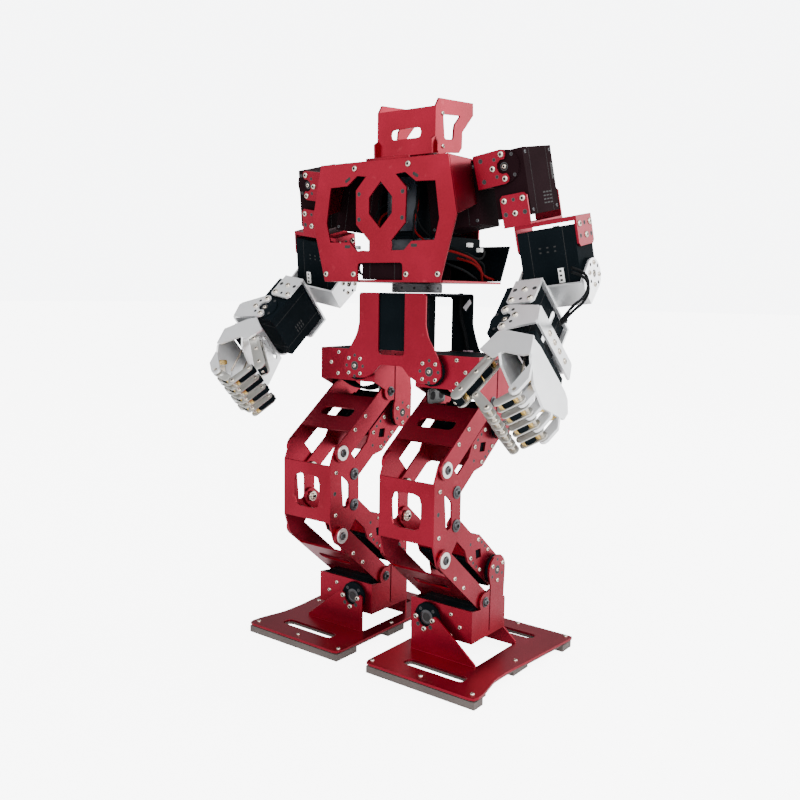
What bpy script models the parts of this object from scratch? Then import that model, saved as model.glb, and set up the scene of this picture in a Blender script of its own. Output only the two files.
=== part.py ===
"""Humanoid robot kit: folded red legs and body, silver forearms and hands, black servos.

Metres, +Z up. The robot faces -Y and its left side is +X. Dimensions below are in
millimetres and are scaled once, when a piece is made.
"""

import math

import bmesh
import bpy
from mathutils import Matrix, Vector

OBJECT_NAME = "humanoid_robot_kit"
MM = 0.001
GAP = 0.3
SHEET = 1.5
CENTRE_OFFSET = (-1.87, -13.65)

# Servo: distances from the horn axis, and the body's depth along that axis.
SERVO_NEAR = 9.5
SERVO_FAR = 32.5
SERVO_WIDTH = 24.0
SERVO_DEPTH = 40.0
HORN_RADIUS = 10.5
HORN_PITCH = 7.6
NECK_RADIUS = 7.0

# Foot and ankle.
FOOT_IN, FOOT_OUT = 12.3, 103.0
FOOT_FRONT, FOOT_BACK = -68.0, 65.4
SOLE_TOP, FOOT_TOP = 5.8, 7.8
FLAP_FRONT, FLAP_BACK = -28.0, 28.0
ANKLE_ROLL = (34.2, 32.3)

# Leg linkage: pivots in (y, z), and the two parallel link vectors.
KNEE_UPPER_FRONT = (-54.5, 147.6)
KNEE_LOWER_FRONT = (-54.5, 87.8)
KNEE_UPPER_REAR = (-39.7, 130.2)
KNEE_LOWER_REAR = (-39.6, 107.6)
THIGH = (52.0, 39.7)
SHANK = (49.5, -41.6)
LEG_MIDDLE = 44.25
KNEE_HALF = 22.45
LINK_HALF = 24.15
EAR_HALF = 25.95
LINK_SHEET = 1.4
PIN_RADIUS = 2.7

# Hip and pelvis.
HIP_ROLL = (33.2, 206.9)
PELVIS_FRONT, PELVIS_BACK = -26.9, 28.0
PELVIS_WAIST, WAIST_DRIVE_BACK = 29.5, 10.0
TURNTABLE = (0.0, 3.0, 260.0, 266.9)
TURNTABLE_RADIUS = 17.8

# Chest and head.
CHEST_FRONT = -41.0
CHEST_BACK = 38.0
CHEST_BOTTOM, CHEST_MIDDLE, CHEST_TOP = 267.2, 310.7, 348.8
CHEST_HALF = (50.1, 62.2, 54.5)
NOTCH, NOTCH_TOP, WAIST_SERVO_FRONT = 19.6, 280.2, -37.5
FLANGE_BACK, FLANGE_BOTTOM = -14.5, 311.6
BACK_COLUMN, WALL_TOP = 30.0, 294.0
PITCH_FACE = -26.0
HEAD_AXIS = (0.0, 3.0)

# Arms. Angles in degrees; each arm holds its own pose.
SHOULDER = (84.3, -1.9, 344.0)
SHOULDER_CANT = 8.5
SHOULDER_REACH = 22.3
ARM_PITCH = {1: -9.8, -1: -14.3}
ARM_ROLL = {1: -1.7, -1: 0.7}
ELBOW_BEND = {1: 56.0, -1: 59.1}
WRIST_TURN = {1: 11.0, -1: -16.0}
ELBOW_MIDDLE = {1: 20.0, -1: -1.0}
HORN_OFFSET = 3.8
FOREARM_MIDDLE = 10.6
WRIST_OFFSET = 6.3
BRACKET_ROW = 21.3
ELBOW_AXIS = (16.5, -75.5)
FOREARM_LENGTH = 51.5
FOREARM_DROP = -16.7
FOREARM_ROW = 15.7
BRACKET_DEPTH = 46.0

# Hand, in the frame of its own bracket: n outward, v across, w against the fingers.
FINGER_ROW = (8.0, 19.0, 30.0, 41.0)
FINGER_WIDTH = 6.4
KNUCKLE = (15.5, -63.0)
FINGER_JOINT = (-1.5, -70.5)
FINGER_TIP = (-10.5, -58.5)
THUMB_BASE = (-4.0, -31.0)
THUMB_TIP = (-21.5, -57.5)

COLOURS = {
    "red": ((0.40, 0.022, 0.035, 1.0), 0.75, 0.38),
    "silver": ((0.72, 0.72, 0.73, 1.0), 0.9, 0.35),
    "black": ((0.012, 0.014, 0.017, 1.0), 0.0, 0.5),
    "brown": ((0.028, 0.016, 0.017, 1.0), 0.0, 0.5),
    "rubber": ((0.16, 0.14, 0.13, 1.0), 0.0, 0.8),
}


# ---------------------------------------------------------------- scene


def clear_scene():
    for item in list(bpy.data.objects):
        bpy.data.objects.remove(item, do_unlink=True)


def new_collection(name):
    made = bpy.data.collections.new(name)
    bpy.context.scene.collection.children.link(made)
    return made


def new_material(name, colour):
    base, metallic, roughness = COLOURS[colour]
    material = bpy.data.materials.new(name)
    material.use_nodes = True
    shader = material.node_tree.nodes["Principled BSDF"]
    shader.inputs["Base Color"].default_value = base
    shader.inputs["Metallic"].default_value = metallic
    shader.inputs["Roughness"].default_value = roughness
    return material


# ---------------------------------------------------------------- outlines


def ring(x, y, radius, steps=16, start=0.0):
    turn = 2 * math.pi / steps
    return [
        (x + radius * math.cos(start + turn * i), y + radius * math.sin(start + turn * i))
        for i in range(steps)
    ]


def box_outline(x0, y0, x1, y1):
    return [(x0, y0), (x1, y0), (x1, y1), (x0, y1)]


def rounded(points, radius, steps=3):
    """The outline with every corner turned into an arc of about this radius."""
    result = []
    count = len(points)
    for i, point in enumerate(points):
        here = Vector(point)
        before = Vector(points[i - 1]) - here
        after = Vector(points[(i + 1) % count]) - here
        reach = min(radius, 0.45 * before.length, 0.45 * after.length)
        start = here + before.normalized() * reach
        end = here + after.normalized() * reach
        for k in range(steps + 1):
            t = k / steps
            result.append(tuple(start * (1 - t) ** 2 + here * 2 * t * (1 - t) + end * t * t))
    return result


def slot(x0, y0, x1, y1, steps=4):
    radius = min(x1 - x0, y1 - y0) / 2
    return rounded(box_outline(x0, y0, x1, y1), radius, steps)


def wrap(*outlines):
    """The convex outline round all these points."""
    points = sorted({(round(x, 6), round(y, 6)) for line in outlines for x, y in line})
    halves = []
    for run in (points, points[::-1]):
        half = []
        for p in run:
            while len(half) > 1 and turns_right(half[-2], half[-1], p):
                half.pop()
            half.append(p)
        halves += half[:-1]
    return halves


def turns_right(a, b, p):
    return (b[0] - a[0]) * (p[1] - a[1]) - (b[1] - a[1]) * (p[0] - a[0]) <= 1e-9


def along(origin, direction):
    """A function from (distance along, distance to the left) to the plane."""
    ahead = Vector(direction).normalized()
    side = Vector((-ahead.y, ahead.x))

    def place(a, b):
        return tuple(Vector(origin) + ahead * a + side * b)

    return place


# ---------------------------------------------------------------- solids


AXIS_MAPS = {
    "x": Matrix(((0, 0, 1, 0), (1, 0, 0, 0), (0, 1, 0, 0), (0, 0, 0, 1))),
    "y": Matrix(((1, 0, 0, 0), (0, 0, 1, 0), (0, 1, 0, 0), (0, 0, 0, 1))),
    "z": Matrix.Identity(4),
}


def finish_mesh(bm, frame):
    bmesh.ops.remove_doubles(bm, verts=bm.verts, dist=1e-4)
    bm.transform(frame)
    bmesh.ops.recalc_face_normals(bm, faces=bm.faces)
    if bm.calc_volume(signed=True) < 0:
        bmesh.ops.reverse_faces(bm, faces=bm.faces)
    for face in bm.faces:
        face.smooth = False
    mesh = bpy.data.meshes.new("piece")
    bm.to_mesh(mesh)
    bm.free()
    return mesh


def sheet(axis, low, high, outline, holes=(), frame=None):
    """A flat plate from a filled 2D curve: its outline and holes, extruded along the axis."""
    curve = bpy.data.curves.new("outline", "CURVE")
    curve.dimensions = "2D"
    curve.fill_mode = "BOTH"
    curve.extrude = (high - low) / 2
    for line in (outline, *holes):
        spline = curve.splines.new("POLY")
        spline.points.add(len(line) - 1)
        for point, (x, y) in zip(spline.points, line):
            point.co = (x, y, 0, 1)
        spline.use_cyclic_u = True
    helper = bpy.data.objects.new("outline", curve)
    flat = bpy.data.meshes.new_from_object(helper)
    bm = bmesh.new()
    bm.from_mesh(flat)
    bpy.data.meshes.remove(flat)
    bpy.data.objects.remove(helper)
    bpy.data.curves.remove(curve)
    lift = AXIS_MAPS[axis] @ Matrix.Translation((0, 0, (low + high) / 2))
    return finish_mesh(bm, (frame or Matrix.Identity(4)) @ lift)


def block(x0, x1, y0, y1, z0, z1, frame=None):
    return sheet("z", z0, z1, box_outline(x0, y0, x1, y1), (), frame)


def disc(axis, low, high, a, b, radius, steps=20, frame=None):
    return sheet(axis, low, high, ring(a, b, radius, steps), (), frame)


class Builder:
    """Makes one node from its pieces, with the joins and cuts as Boolean modifiers."""

    def __init__(self):
        self.parts = new_collection(OBJECT_NAME)
        self.helpers = new_collection("cutters")
        self.helpers.hide_render = True

    def settle(self, item, mesh, pivot):
        """Puts the mesh's origin on the pivot, and scales it to metres."""
        mesh.transform(Matrix.Scale(MM, 4) @ Matrix.Translation(-Vector(pivot)))
        item.location = (Vector(pivot) - Vector((*CENTRE_OFFSET, 0.0))) * MM

    def operand(self, name, meshes, pivot):
        group = bpy.data.collections.new(name)
        group.hide_render = True
        self.helpers.children.link(group)
        for mesh in meshes:
            helper = bpy.data.objects.new(name, mesh)
            self.settle(helper, mesh, pivot)
            helper.display_type = "WIRE"
            helper.hide_render = True
            group.objects.link(helper)
        return group

    def node(self, name, colour, pivot, pieces, cuts=()):
        first, *more = pieces
        item = bpy.data.objects.new(name, first)
        first.name = name
        self.settle(item, first, pivot)
        first.materials.append(new_material(name, colour))
        self.parts.objects.link(item)
        for kind, meshes in (("UNION", more), ("DIFFERENCE", cuts)):
            if meshes:
                modifier = item.modifiers.new(kind.title(), "BOOLEAN")
                modifier.operation = kind
                modifier.solver = "EXACT"
                modifier.operand_type = "COLLECTION"
                modifier.collection = self.operand(f"{name}_{kind.lower()}", meshes, pivot)
        return item


# ---------------------------------------------------------------- legs


def mirror(side):
    return Matrix.Diagonal((side, 1, 1, 1))


def side_name(side):
    return "left" if side > 0 else "right"


def leg_pivots():
    """The linkage pivots in (y, z), keyed by what they join."""
    knee = {
        "upper_front": Vector(KNEE_UPPER_FRONT),
        "upper_rear": Vector(KNEE_UPPER_REAR),
        "lower_front": Vector(KNEE_LOWER_FRONT),
        "lower_rear": Vector(KNEE_LOWER_REAR),
    }
    return knee | {
        "hip_front": knee["upper_front"] + Vector(THIGH),
        "hip_rear": knee["upper_rear"] + Vector(THIGH),
        "ankle_front": knee["lower_front"] + Vector(SHANK),
        "ankle_rear": knee["lower_rear"] + Vector(SHANK),
    }


def pair(half, thickness, outline, holes, frame):
    """Two matching plates across a leg, one each side of its middle."""
    low, high = LEG_MIDDLE - half, LEG_MIDDLE + half
    return [
        sheet("x", low, low + thickness, outline, holes, frame),
        sheet("x", high - thickness, high, outline, holes, frame),
    ]


def pins(centre, inner, outer, radius, frame):
    """Stub pins standing out of both sides, from inner to outer half width."""
    made = []
    for low, high in ((-outer, -inner), (inner, outer)):
        made.append(
            disc("x", LEG_MIDDLE + low, LEG_MIDDLE + high, *centre, radius, 12, frame)
        )
    return made


def foot_outline(inset):
    front, back = FOOT_FRONT + inset, FOOT_BACK - inset
    outer = [(102.6, front), (102.2, -56.0), (97.2, -34.0), (97.4, -16.0)]
    outer += [(100.0, 8.0), (102.4, 36.0), (FOOT_OUT + 1.6, 60.0), (FOOT_OUT + 1.6, back)]
    right = [(x - inset, y) for x, y in outer]
    return rounded([(FOOT_IN + inset, front), *right, (FOOT_IN + inset, back)], 5.0, 2)


def make_foot(build, side, pivot):
    frame = mirror(side)
    name = side_name(side)
    window = rounded(box_outline(22.9, FLAP_FRONT + SHEET, 76.5, FLAP_BACK - SHEET), 3.0, 2)
    holes = (slot(33.3, -52.4, 82.3, -43.2), slot(33.3, 41.6, 82.3, 50.2), window)
    plate = sheet("z", SOLE_TOP + GAP, FOOT_TOP, foot_outline(0.0), holes, frame)
    x, z = ANKLE_ROLL
    notch = [p for p in ring(x, z, 6.0, 16, math.pi / 16) if p[1] < 35.0]
    notch.sort(key=lambda p: -p[0])
    flap = [(22.9, SOLE_TOP + GAP), (77.0, SOLE_TOP + GAP), (77.0, 9.6), (45.5, 34.4)]
    flap += [(43.2, 35.6), *notch, (25.2, 35.6), (22.9, 34.0)]
    pieces = [plate]
    for low in (FLAP_FRONT, FLAP_BACK - SHEET):
        pieces.append(sheet("y", low, low + SHEET, flap, (), frame))
    build.node(f"{name}_foot_plate", "red", pivot, pieces)

    web = foot_outline(2.2)
    web_hole = rounded(box_outline(24.5, -40.0, 84.0, 38.0), 3.0, 1)
    slots = (slot(32.5, -53.2, 83.1, -42.4), slot(32.5, 40.8, 83.1, 51.0))
    pads = [sheet("z", 3.6, SOLE_TOP, web, (web_hole, *slots), frame)]
    for x0, x1, y0, y1 in (
        (13.5, 101.6, -67.0, -56.5),
        (13.5, 23.5, -57.0, -44.5),
        (88.0, 96.5, -57.0, -44.5),
        (13.5, 23.5, -7.5, 12.5),
        (86.5, 95.8, -7.5, 12.5),
        (13.5, 32.0, 51.0, 64.4),
        (86.0, 103.4, 51.0, 64.4),
    ):
        pads.append(block(x0, x1, y0, y1, 0.0, SOLE_TOP - 0.8, frame))
    build.node(f"{name}_foot_sole", "rubber", pivot, pads)


def roll_servo(build, name, centre, colour, pivot, frame):
    """A servo lying across a leg's end, its horn axis along Y."""
    x, z = centre
    half = SERVO_DEPTH / 2
    width = SERVO_WIDTH / 2 - GAP
    body = block(x - SERVO_NEAR, x + SERVO_FAR, -half, half, z - width, z + width, frame)
    neck = disc("y", -half - 4.0, half + 4.0, x, z, NECK_RADIUS, 12, frame)
    horn = disc("y", -half - 5.0, -half - 2.0 - GAP, x, z, HORN_RADIUS, 16, frame)
    idler = disc("y", half + 2.1 + GAP, half + 5.5, x, z, HORN_RADIUS, 16, frame)
    build.node(name, colour, pivot, [body, neck, horn, idler])


def end_bracket(build, name, side, pivot, outline, face, roll, holes, groove):
    """Hip or ankle: two eared side plates, each with a groove, and a front and a rear plate."""
    frame = mirror(side)
    pieces = pair(EAR_HALF, LINK_SHEET, outline, holes, frame)
    low, high = LEG_MIDDLE - EAR_HALF, LEG_MIDDLE + EAR_HALF
    z0, z1 = face
    plate = rounded(box_outline(low, z0, high, z1), 1.5, 2)
    x, z = roll
    opening = ring(x, z, NECK_RADIUS + 0.8, 12)
    front, back = -SERVO_DEPTH / 2 - 2.0, SERVO_DEPTH / 2 + 0.6
    pieces.append(sheet("y", front, front + SHEET, plate, (opening,), frame))
    pieces.append(sheet("y", back, back + SHEET, plate, (opening,), frame))
    cut = sheet("x", low - 1.0, high + 1.0, box_outline(*groove), (), frame)
    build.node(name, "red", pivot, pieces, [cut])


def make_ankle(build, side, pivots):
    """The bracket and the roll servo between a foot and its shank."""
    frame = mirror(side)
    y, z = pivots["ankle_rear"]
    front = pivots["ankle_front"]
    pivot = (side * LEG_MIDDLE, y, z)
    outline = [(-22.0, 20.4), (SERVO_DEPTH / 2 + 2.1, 20.4), (SERVO_DEPTH / 2 + 2.1, 38.5)]
    outline += [(19.6, 43.0)] + arc(y, z, 11.0, -10, 190, 8)
    outline += [(1.6, 55.0)] + arc(*front, 7.0, 70, 215, 6) + [(-22.0, 43.6)]
    holes = (ring(*front, PIN_RADIUS + GAP, 12), ring(y, z, 3.0, 8))
    groove = (0.3, 23.8, 1.6, 57.0)
    name = f"{side_name(side)}_ankle_bracket"
    end_bracket(build, name, side, pivot, outline, (20.4, 43.6), ANKLE_ROLL, holes, groove)
    roll_servo(build, f"{side_name(side)}_ankle_servo", ANKLE_ROLL, "black", pivot, frame)


def make_hip(build, side, pivots):
    frame = mirror(side)
    y, z = pivots["hip_rear"]
    front = pivots["hip_front"]
    x_roll, z_roll = HIP_ROLL
    pivot = (side * x_roll, 0.0, z_roll)
    top, bottom = z_roll + 11.6, z_roll - 11.6
    outline = [(SERVO_DEPTH / 2 + 2.1, bottom), (SERVO_DEPTH / 2 + 2.1, top), (-22.0, top)]
    outline += [(-22.0, bottom)] + arc(*front, 7.0, 165, 290, 6) + [(2.6, 181.5)]
    outline += arc(y, z, 11.0, 170, 370, 8) + [(23.2, 188.0)]
    holes = (ring(*front, PIN_RADIUS + GAP, 12), ring(y, z, 3.0, 8))
    groove = (1.7, 179.0, 3.0, 215.0)
    name = f"{side_name(side)}_hip_bracket"
    end_bracket(build, name, side, pivot, outline, (bottom, top), HIP_ROLL, holes, groove)
    roll_servo(build, f"{side_name(side)}_hip_servo", HIP_ROLL, "black", pivot, frame)


def arc(x, y, radius, start, end, steps):
    turns = [math.radians(start + (end - start) * i / steps) for i in range(steps + 1)]
    return [(x + radius * math.cos(a), y + radius * math.sin(a)) for a in turns]


class Link:
    """One leg link: its ends in (y, z), and the joint that it turns about."""

    def __init__(self, side, knee, end, turns_at_knee):
        self.knee, self.end = knee, end
        self.frame = mirror(side)
        self.pivot = (side * LEG_MIDDLE, *(knee if turns_at_knee else end))


def make_front_link(build, name, link, flip):
    """A channel: two arms outside the knee block and a slotted web along their front."""
    knee, end, frame = link.knee, link.end, link.frame
    place = along(knee, end - knee)
    length = (end - knee).length
    outline = wrap(ring(*knee, 7.0, 14), ring(*end, 7.0, 14))
    bores = (ring(*knee, PIN_RADIUS + GAP, 12),)
    pieces = pair(LINK_HALF, LINK_SHEET, outline, bores, frame)
    edge = [place(15.0, 5.6 * flip), place(length - 15.0, 5.6 * flip)]
    edge += [place(length - 15.0, 7.0 * flip), place(15.0, 7.0 * flip)]
    low, high = LEG_MIDDLE - LINK_HALF, LEG_MIDDLE + LINK_HALF
    pieces.append(sheet("x", low, high, edge, (), frame))
    middle = length / 2
    tilt = math.atan2((end - knee).y, (end - knee).x)
    cut_frame = frame @ Matrix.Translation((0, *knee)) @ Matrix.Rotation(tilt, 4, "X")
    window = slot(LEG_MIDDLE - 15.0, middle - 4.5, LEG_MIDDLE + 15.0, middle + 4.5)
    cut = sheet("z", 3.0 * flip - 9.0, 3.0 * flip + 9.0, window, (), cut_frame)
    pieces += pins(end, LINK_HALF - 0.4, EAR_HALF - GAP, PIN_RADIUS, frame)
    build.node(name, "red", link.pivot, pieces, [cut])


def make_rear_link(build, name, link):
    """The driven link: two necked side plates round the servo, joined by a web."""
    knee, end, frame = link.knee, link.end, link.frame
    place = along(end, knee - end)
    length = (knee - end).length
    half = SERVO_DEPTH / 2 + 0.65
    outline = [place(-8.5, -8.0), place(-5.5, -11.0), place(31.0, -11.0), place(40.0, -6.5)]
    outline += [place(a, b) for a, b in arc(length, 0.0, 6.5, -80, 80, 6)]
    outline += [place(40.0, 6.5), place(31.0, 11.0), place(-5.5, 11.0), place(-8.5, 8.0)]
    diamond = [place(18.0, 0.0), place(23.0, -4.2), place(28.0, 0.0), place(23.0, 4.2)]
    horn = [place(a, b) for a, b in ring(0.0, 0.0, 5.0, 12)]
    bore = ring(*knee, PIN_RADIUS + GAP, 12)
    pieces = pair(half, LINK_SHEET, outline, (diamond, horn, bore), frame)
    web = [place(33.6, -8.5), place(35.2, -8.5), place(35.2, 8.5), place(33.6, 8.5)]
    low, high = LEG_MIDDLE - half, LEG_MIDDLE + half
    pieces.append(sheet("x", low + 0.4, high - 0.4, web, (), frame))
    build.node(name, "red", link.pivot, pieces)


def make_link_servo(build, name, link):
    """The servo inside a rear link, its horn axis across the leg."""
    knee, end, frame = link.knee, link.end, link.frame
    place = along(end, knee - end)
    half = SERVO_DEPTH / 2 - LINK_SHEET + 0.4
    width = SERVO_WIDTH / 2 - 1.4
    body = [place(-SERVO_NEAR, -width), place(SERVO_FAR, -width)]
    body += [place(SERVO_FAR, width), place(-SERVO_NEAR, width)]
    low, high = LEG_MIDDLE - half, LEG_MIDDLE + half
    pieces = [sheet("x", low, high, body, (), frame)]
    reach = EAR_HALF - LINK_SHEET - GAP
    pieces += pins(end, half - 1.0, reach, 4.6, frame)
    for inner, outer in ((-reach, -reach + 2.4), (reach - 2.4, reach)):
        x0, x1 = LEG_MIDDLE + inner, LEG_MIDDLE + outer
        pieces.append(disc("x", x0, x1, *end, HORN_RADIUS, 16, frame))
    build.node(name, "black", link.pivot, pieces)


def make_knee(build, side, pivots):
    """The block that the four links meet at: a windowed face and two slotted sides."""
    frame = mirror(side)
    upper, lower = pivots["upper_front"], pivots["lower_front"]
    outline = [(-65.4, 98.5), *arc(*lower, 7.0, 200, 320, 5), (-34.4, 101.0)]
    outline += [(-34.4, 136.6), *arc(*upper, 7.0, 40, 160, 5), (-65.4, 139.5)]
    inner_slot = rounded([(-53.7, 131.5), (-51.1, 106.1), (-44.9, 107.5), (-45.0, 124.6)], 1.5, 1)
    pieces = pair(KNEE_HALF, LINK_SHEET, outline, (inner_slot,), frame)
    low, high = LEG_MIDDLE - KNEE_HALF, LEG_MIDDLE + KNEE_HALF
    face = box_outline(low, 98.5, high, 139.5)
    window = rounded(box_outline(LEG_MIDDLE - 12.0, 107.0, LEG_MIDDLE + 12.0, 131.0), 6.0, 2)
    pieces.append(sheet("y", -65.4, -64.0, face, (window,), frame))
    for centre in (upper, lower):
        pieces += pins(centre, KNEE_HALF - 0.6, LINK_HALF + 1.2, PIN_RADIUS, frame)
    for key in ("upper_rear", "lower_rear"):
        pieces += pins(pivots[key], SERVO_DEPTH / 2 - 1.8, KNEE_HALF - 0.6, PIN_RADIUS, frame)
    build.node(
        f"{side_name(side)}_knee_block", "red", (side * LEG_MIDDLE, *pivots["upper_rear"]), pieces
    )


def make_leg(build, side):
    name = side_name(side)
    pivots = leg_pivots()
    make_foot(build, side, (side * ANKLE_ROLL[0], 0.0, ANKLE_ROLL[1]))
    make_ankle(build, side, pivots)
    make_hip(build, side, pivots)
    make_knee(build, side, pivots)
    for part, knee, end, flip in (("thigh", "upper", "hip", 1), ("shank", "lower", "ankle", -1)):
        front = Link(side, pivots[knee + "_front"], pivots[end + "_front"], part == "shank")
        rear = Link(side, pivots[knee + "_rear"], pivots[end + "_rear"], part == "shank")
        make_front_link(build, f"{name}_{part}_front_link", front, flip)
        make_rear_link(build, f"{name}_{part}_rear_link", rear)
        make_link_servo(build, f"{name}_{part}_servo", rear)


# ---------------------------------------------------------------- pelvis, chest and head


def both(points):
    """A closed outline from the half with x >= 0, given from the bottom up."""
    return points + [(-x, z) for x, z in reversed(points) if x > 1e-6]


def pelvis_outline(waist):
    """A pelvis plate: two lobes round the hip horns, and a waist of this half width."""
    half = [(9.7, 209.0), (16.0, 202.4), (24.0, 198.6), (38.0, 198.3), (43.6, 204.0)]
    half += [(43.0, 211.8), (38.0, 220.2), (waist + 2.2, 230.0), (waist, 238.0), (waist, 260.0)]
    return rounded(both(half), 2.0, 2)


def make_pelvis(build):
    pivot = (0.0, 0.0, 0.0)
    opening = rounded(box_outline(-11.5, 216.5, 11.5, 264.0), 2.5, 2)
    x, z = HIP_ROLL
    bores = [ring(s * x, z, 3.2, 12) for s in (1, -1)]
    plate = pelvis_outline(PELVIS_WAIST)
    front = sheet("y", PELVIS_FRONT, PELVIS_FRONT + SHEET, plate, bores)
    cut = sheet("y", PELVIS_FRONT - 1.0, PELVIS_FRONT + SHEET + 1.0, opening)
    build.node("pelvis_front_plate", "red", pivot, [front], [cut])
    rear_opening = rounded(box_outline(-14.0, 217.0, 14.0, 257.2), 1.5, 1)
    plate = pelvis_outline(PELVIS_WAIST + 2.7)
    back = sheet("y", PELVIS_BACK, PELVIS_BACK + SHEET, plate, (rear_opening, *bores))
    inner = PELVIS_FRONT + SHEET + GAP
    lid = block(-29.2, 29.2, inner, PELVIS_BACK + 0.8, 258.6, 260.0)
    drive = block(-12.0, 12.0, inner, WAIST_DRIVE_BACK, 219.6, 259.0)
    build.node("pelvis_rear_frame", "black", pivot, [back, lid, drive])


def chest_edge(low, high):
    """The slanted edge of the chest at x >= 0, between these two heights."""
    widest = [(CHEST_HALF[1], CHEST_MIDDLE)] if low < CHEST_MIDDLE < high else []
    return [chest_corner(low), *widest, chest_corner(high)]


def chest_corner(z):
    """The point at this height on the chest's slanted edge."""
    low, middle, high = CHEST_BOTTOM, CHEST_MIDDLE, CHEST_TOP
    first, second, third = CHEST_HALF
    if z < middle:
        return (first + (second - first) * (z - low) / (middle - low), z)
    return (second + (third - second) * (z - middle) / (high - middle), z)


def make_waist(build):
    x, y, low, high = TURNTABLE
    turntable = disc("z", low + GAP, high, x, y, TURNTABLE_RADIUS, 32)
    build.node("waist_turntable", "black", (x, y, low), [turntable])


def make_chest_front(build, pivot):
    notch = rounded([(NOTCH, 262.0), (-NOTCH, 262.0), (-NOTCH, NOTCH_TOP), (NOTCH, NOTCH_TOP)], 2.5, 2)
    window = [(21.3, 306.5), (9.5, 294.8), (9.5, 288.5), (20.6, 288.5), (26.8, 294.5)]
    window += [(45.3, 294.8), (48.7, 308.0), (45.0, 332.5), (29.6, 333.0), (20.6, 339.4)]
    window += [(12.7, 338.6), (21.8, 329.5)]
    diamond = [(0.0, 334.7), (-10.0, 324.2), (-10.0, 313.3), (0.0, 303.3), (10.0, 313.3)]
    diamond += [(10.0, 324.2)]
    holes = (window, [(-px, pz) for px, pz in window], diamond)
    outline = both(chest_edge(CHEST_BOTTOM, CHEST_TOP))
    front = sheet("y", CHEST_FRONT, CHEST_FRONT + SHEET, outline, holes)
    cut = sheet("y", CHEST_FRONT - 1.0, CHEST_FRONT + SHEET + 1.0, notch)
    build.node("chest_front_plate", "red", pivot, [front], [cut])


def make_chest_frame(build, pivot):
    """Top and bottom plates on a back column, with a flange down each upper side."""
    inner = CHEST_FRONT + SHEET + GAP
    low, _, high = CHEST_HALF
    top = rounded(box_outline(-high, inner, high, CHEST_BACK), 2.0, 2)
    neck = ring(*HEAD_AXIS, 8.0, 20)
    pieces = [sheet("z", CHEST_TOP - SHEET, CHEST_TOP, top, (neck,))]
    x, y = TURNTABLE[:2]
    floor = rounded(box_outline(-low, inner, low, CHEST_BACK), 2.0, 2)
    floor_hole = ring(x, y, 9.0, 20)
    pieces.append(sheet("z", CHEST_BOTTOM, CHEST_BOTTOM + SHEET, floor, (floor_hole,)))
    column = box_outline(-BACK_COLUMN, CHEST_BOTTOM, BACK_COLUMN, CHEST_TOP)
    pieces.append(sheet("y", CHEST_BACK - SHEET, CHEST_BACK, column))
    cuts = []
    line = chest_edge(FLANGE_BOTTOM, CHEST_TOP)
    for s in (1, -1):
        strip = [(s * px, pz) for px, pz in line + [(px - SHEET, pz) for px, pz in line[::-1]]]
        pieces.append(sheet("y", inner, FLANGE_BACK, strip))
        corner = [(inner - 1.0, FLANGE_BOTTOM - 1.0), (FLANGE_BACK + 1.0, FLANGE_BOTTOM - 1.0)]
        corner.append((FLANGE_BACK + 1.0, FLANGE_BOTTOM + 8.0))
        cuts.append(sheet("x", s * 60.0 - 6.0, s * 60.0 + 6.0, corner))
    build.node("chest_frame", "red", pivot, pieces, cuts)


def make_chest_parts(build, pivot):
    """The controller, waist servo and black back wall as one solid, and the two pitch servos."""
    core = block(-12.2, 12.2, -15.0, 28.0, 298.0, CHEST_TOP - SHEET - GAP)
    board = block(-33.0, 33.0, -12.0, 34.6, 283.0, 299.4)
    drive = block(-17.5, 17.5, WAIST_SERVO_FRONT, 20.0, CHEST_BOTTOM + SHEET + GAP, 283.6)
    wall = chest_edge(CHEST_BOTTOM + SHEET + GAP, WALL_TOP)
    back = sheet("y", 34.0, CHEST_BACK - SHEET - GAP, both(wall))
    spigot = disc("z", CHEST_TOP - SHEET - 1.0, CHEST_TOP + 3.0, *HEAD_AXIS, 7.2, 20)
    build.node("chest_electronics", "black", pivot, [core, board, drive, back, spigot])

    for s in (1, -1):
        frame = shoulder_frames(s)["chest"]
        case = box_outline(-SERVO_WIDTH / 2, -SERVO_FAR - 1.8, SERVO_WIDTH / 2, 6.0)
        body = sheet("x", PITCH_FACE - SERVO_DEPTH, PITCH_FACE, case, (), frame)
        horn = disc("x", PITCH_FACE - 0.5, -21.0, 0.0, 0.0, HORN_RADIUS, 20, frame)
        build.node(f"{side_name(s)}_shoulder_pitch_servo", "black", pivot, [body, horn])


def make_head(build):
    x, y = HEAD_AXIS
    pivot = (x, y, CHEST_TOP)
    pieces = [sheet("y", -13.8, -12.3, rounded(
        [(-27.3, 355.0), (27.3, 355.0), (27.3, 362.0), (25.2, 365.0), (25.2, 386.2), (-25.2, 386.2),
         (-25.2, 365.0), (-27.3, 362.0)], 1.0, 1), (slot(-13.0, 366.3, 13.0, 373.3, 3),))]
    pieces.append(block(-25.0, 25.0, -12.6, 16.0, 355.0, 356.5))
    pieces.append(disc("z", CHEST_TOP + 3.3, 355.5, x, y, 10.5, 24))
    cheek = [(-17.4, 354.6), (15.9, 358.6), (19.4, 362.5), (19.5, 373.3), (33.0, 386.9)]
    cheek += [(32.5, 395.4), (-10.0, 391.8), (-13.7, 386.3), (-13.0, 366.8), (-17.8, 363.9)]
    seven = rounded([(-4.6, 381.8), (-2.4, 365.6), (8.2, 366.6), (9.4, 376.9), (16.9, 384.2)], 1.2, 1)
    for s in (1, -1):
        low, high = sorted((s * 23.8, s * 25.2))
        pieces.append(sheet("x", low, high, cheek, (seven,)))
    build.node("head_bracket", "red", pivot, pieces)


# ---------------------------------------------------------------- arms


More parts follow.
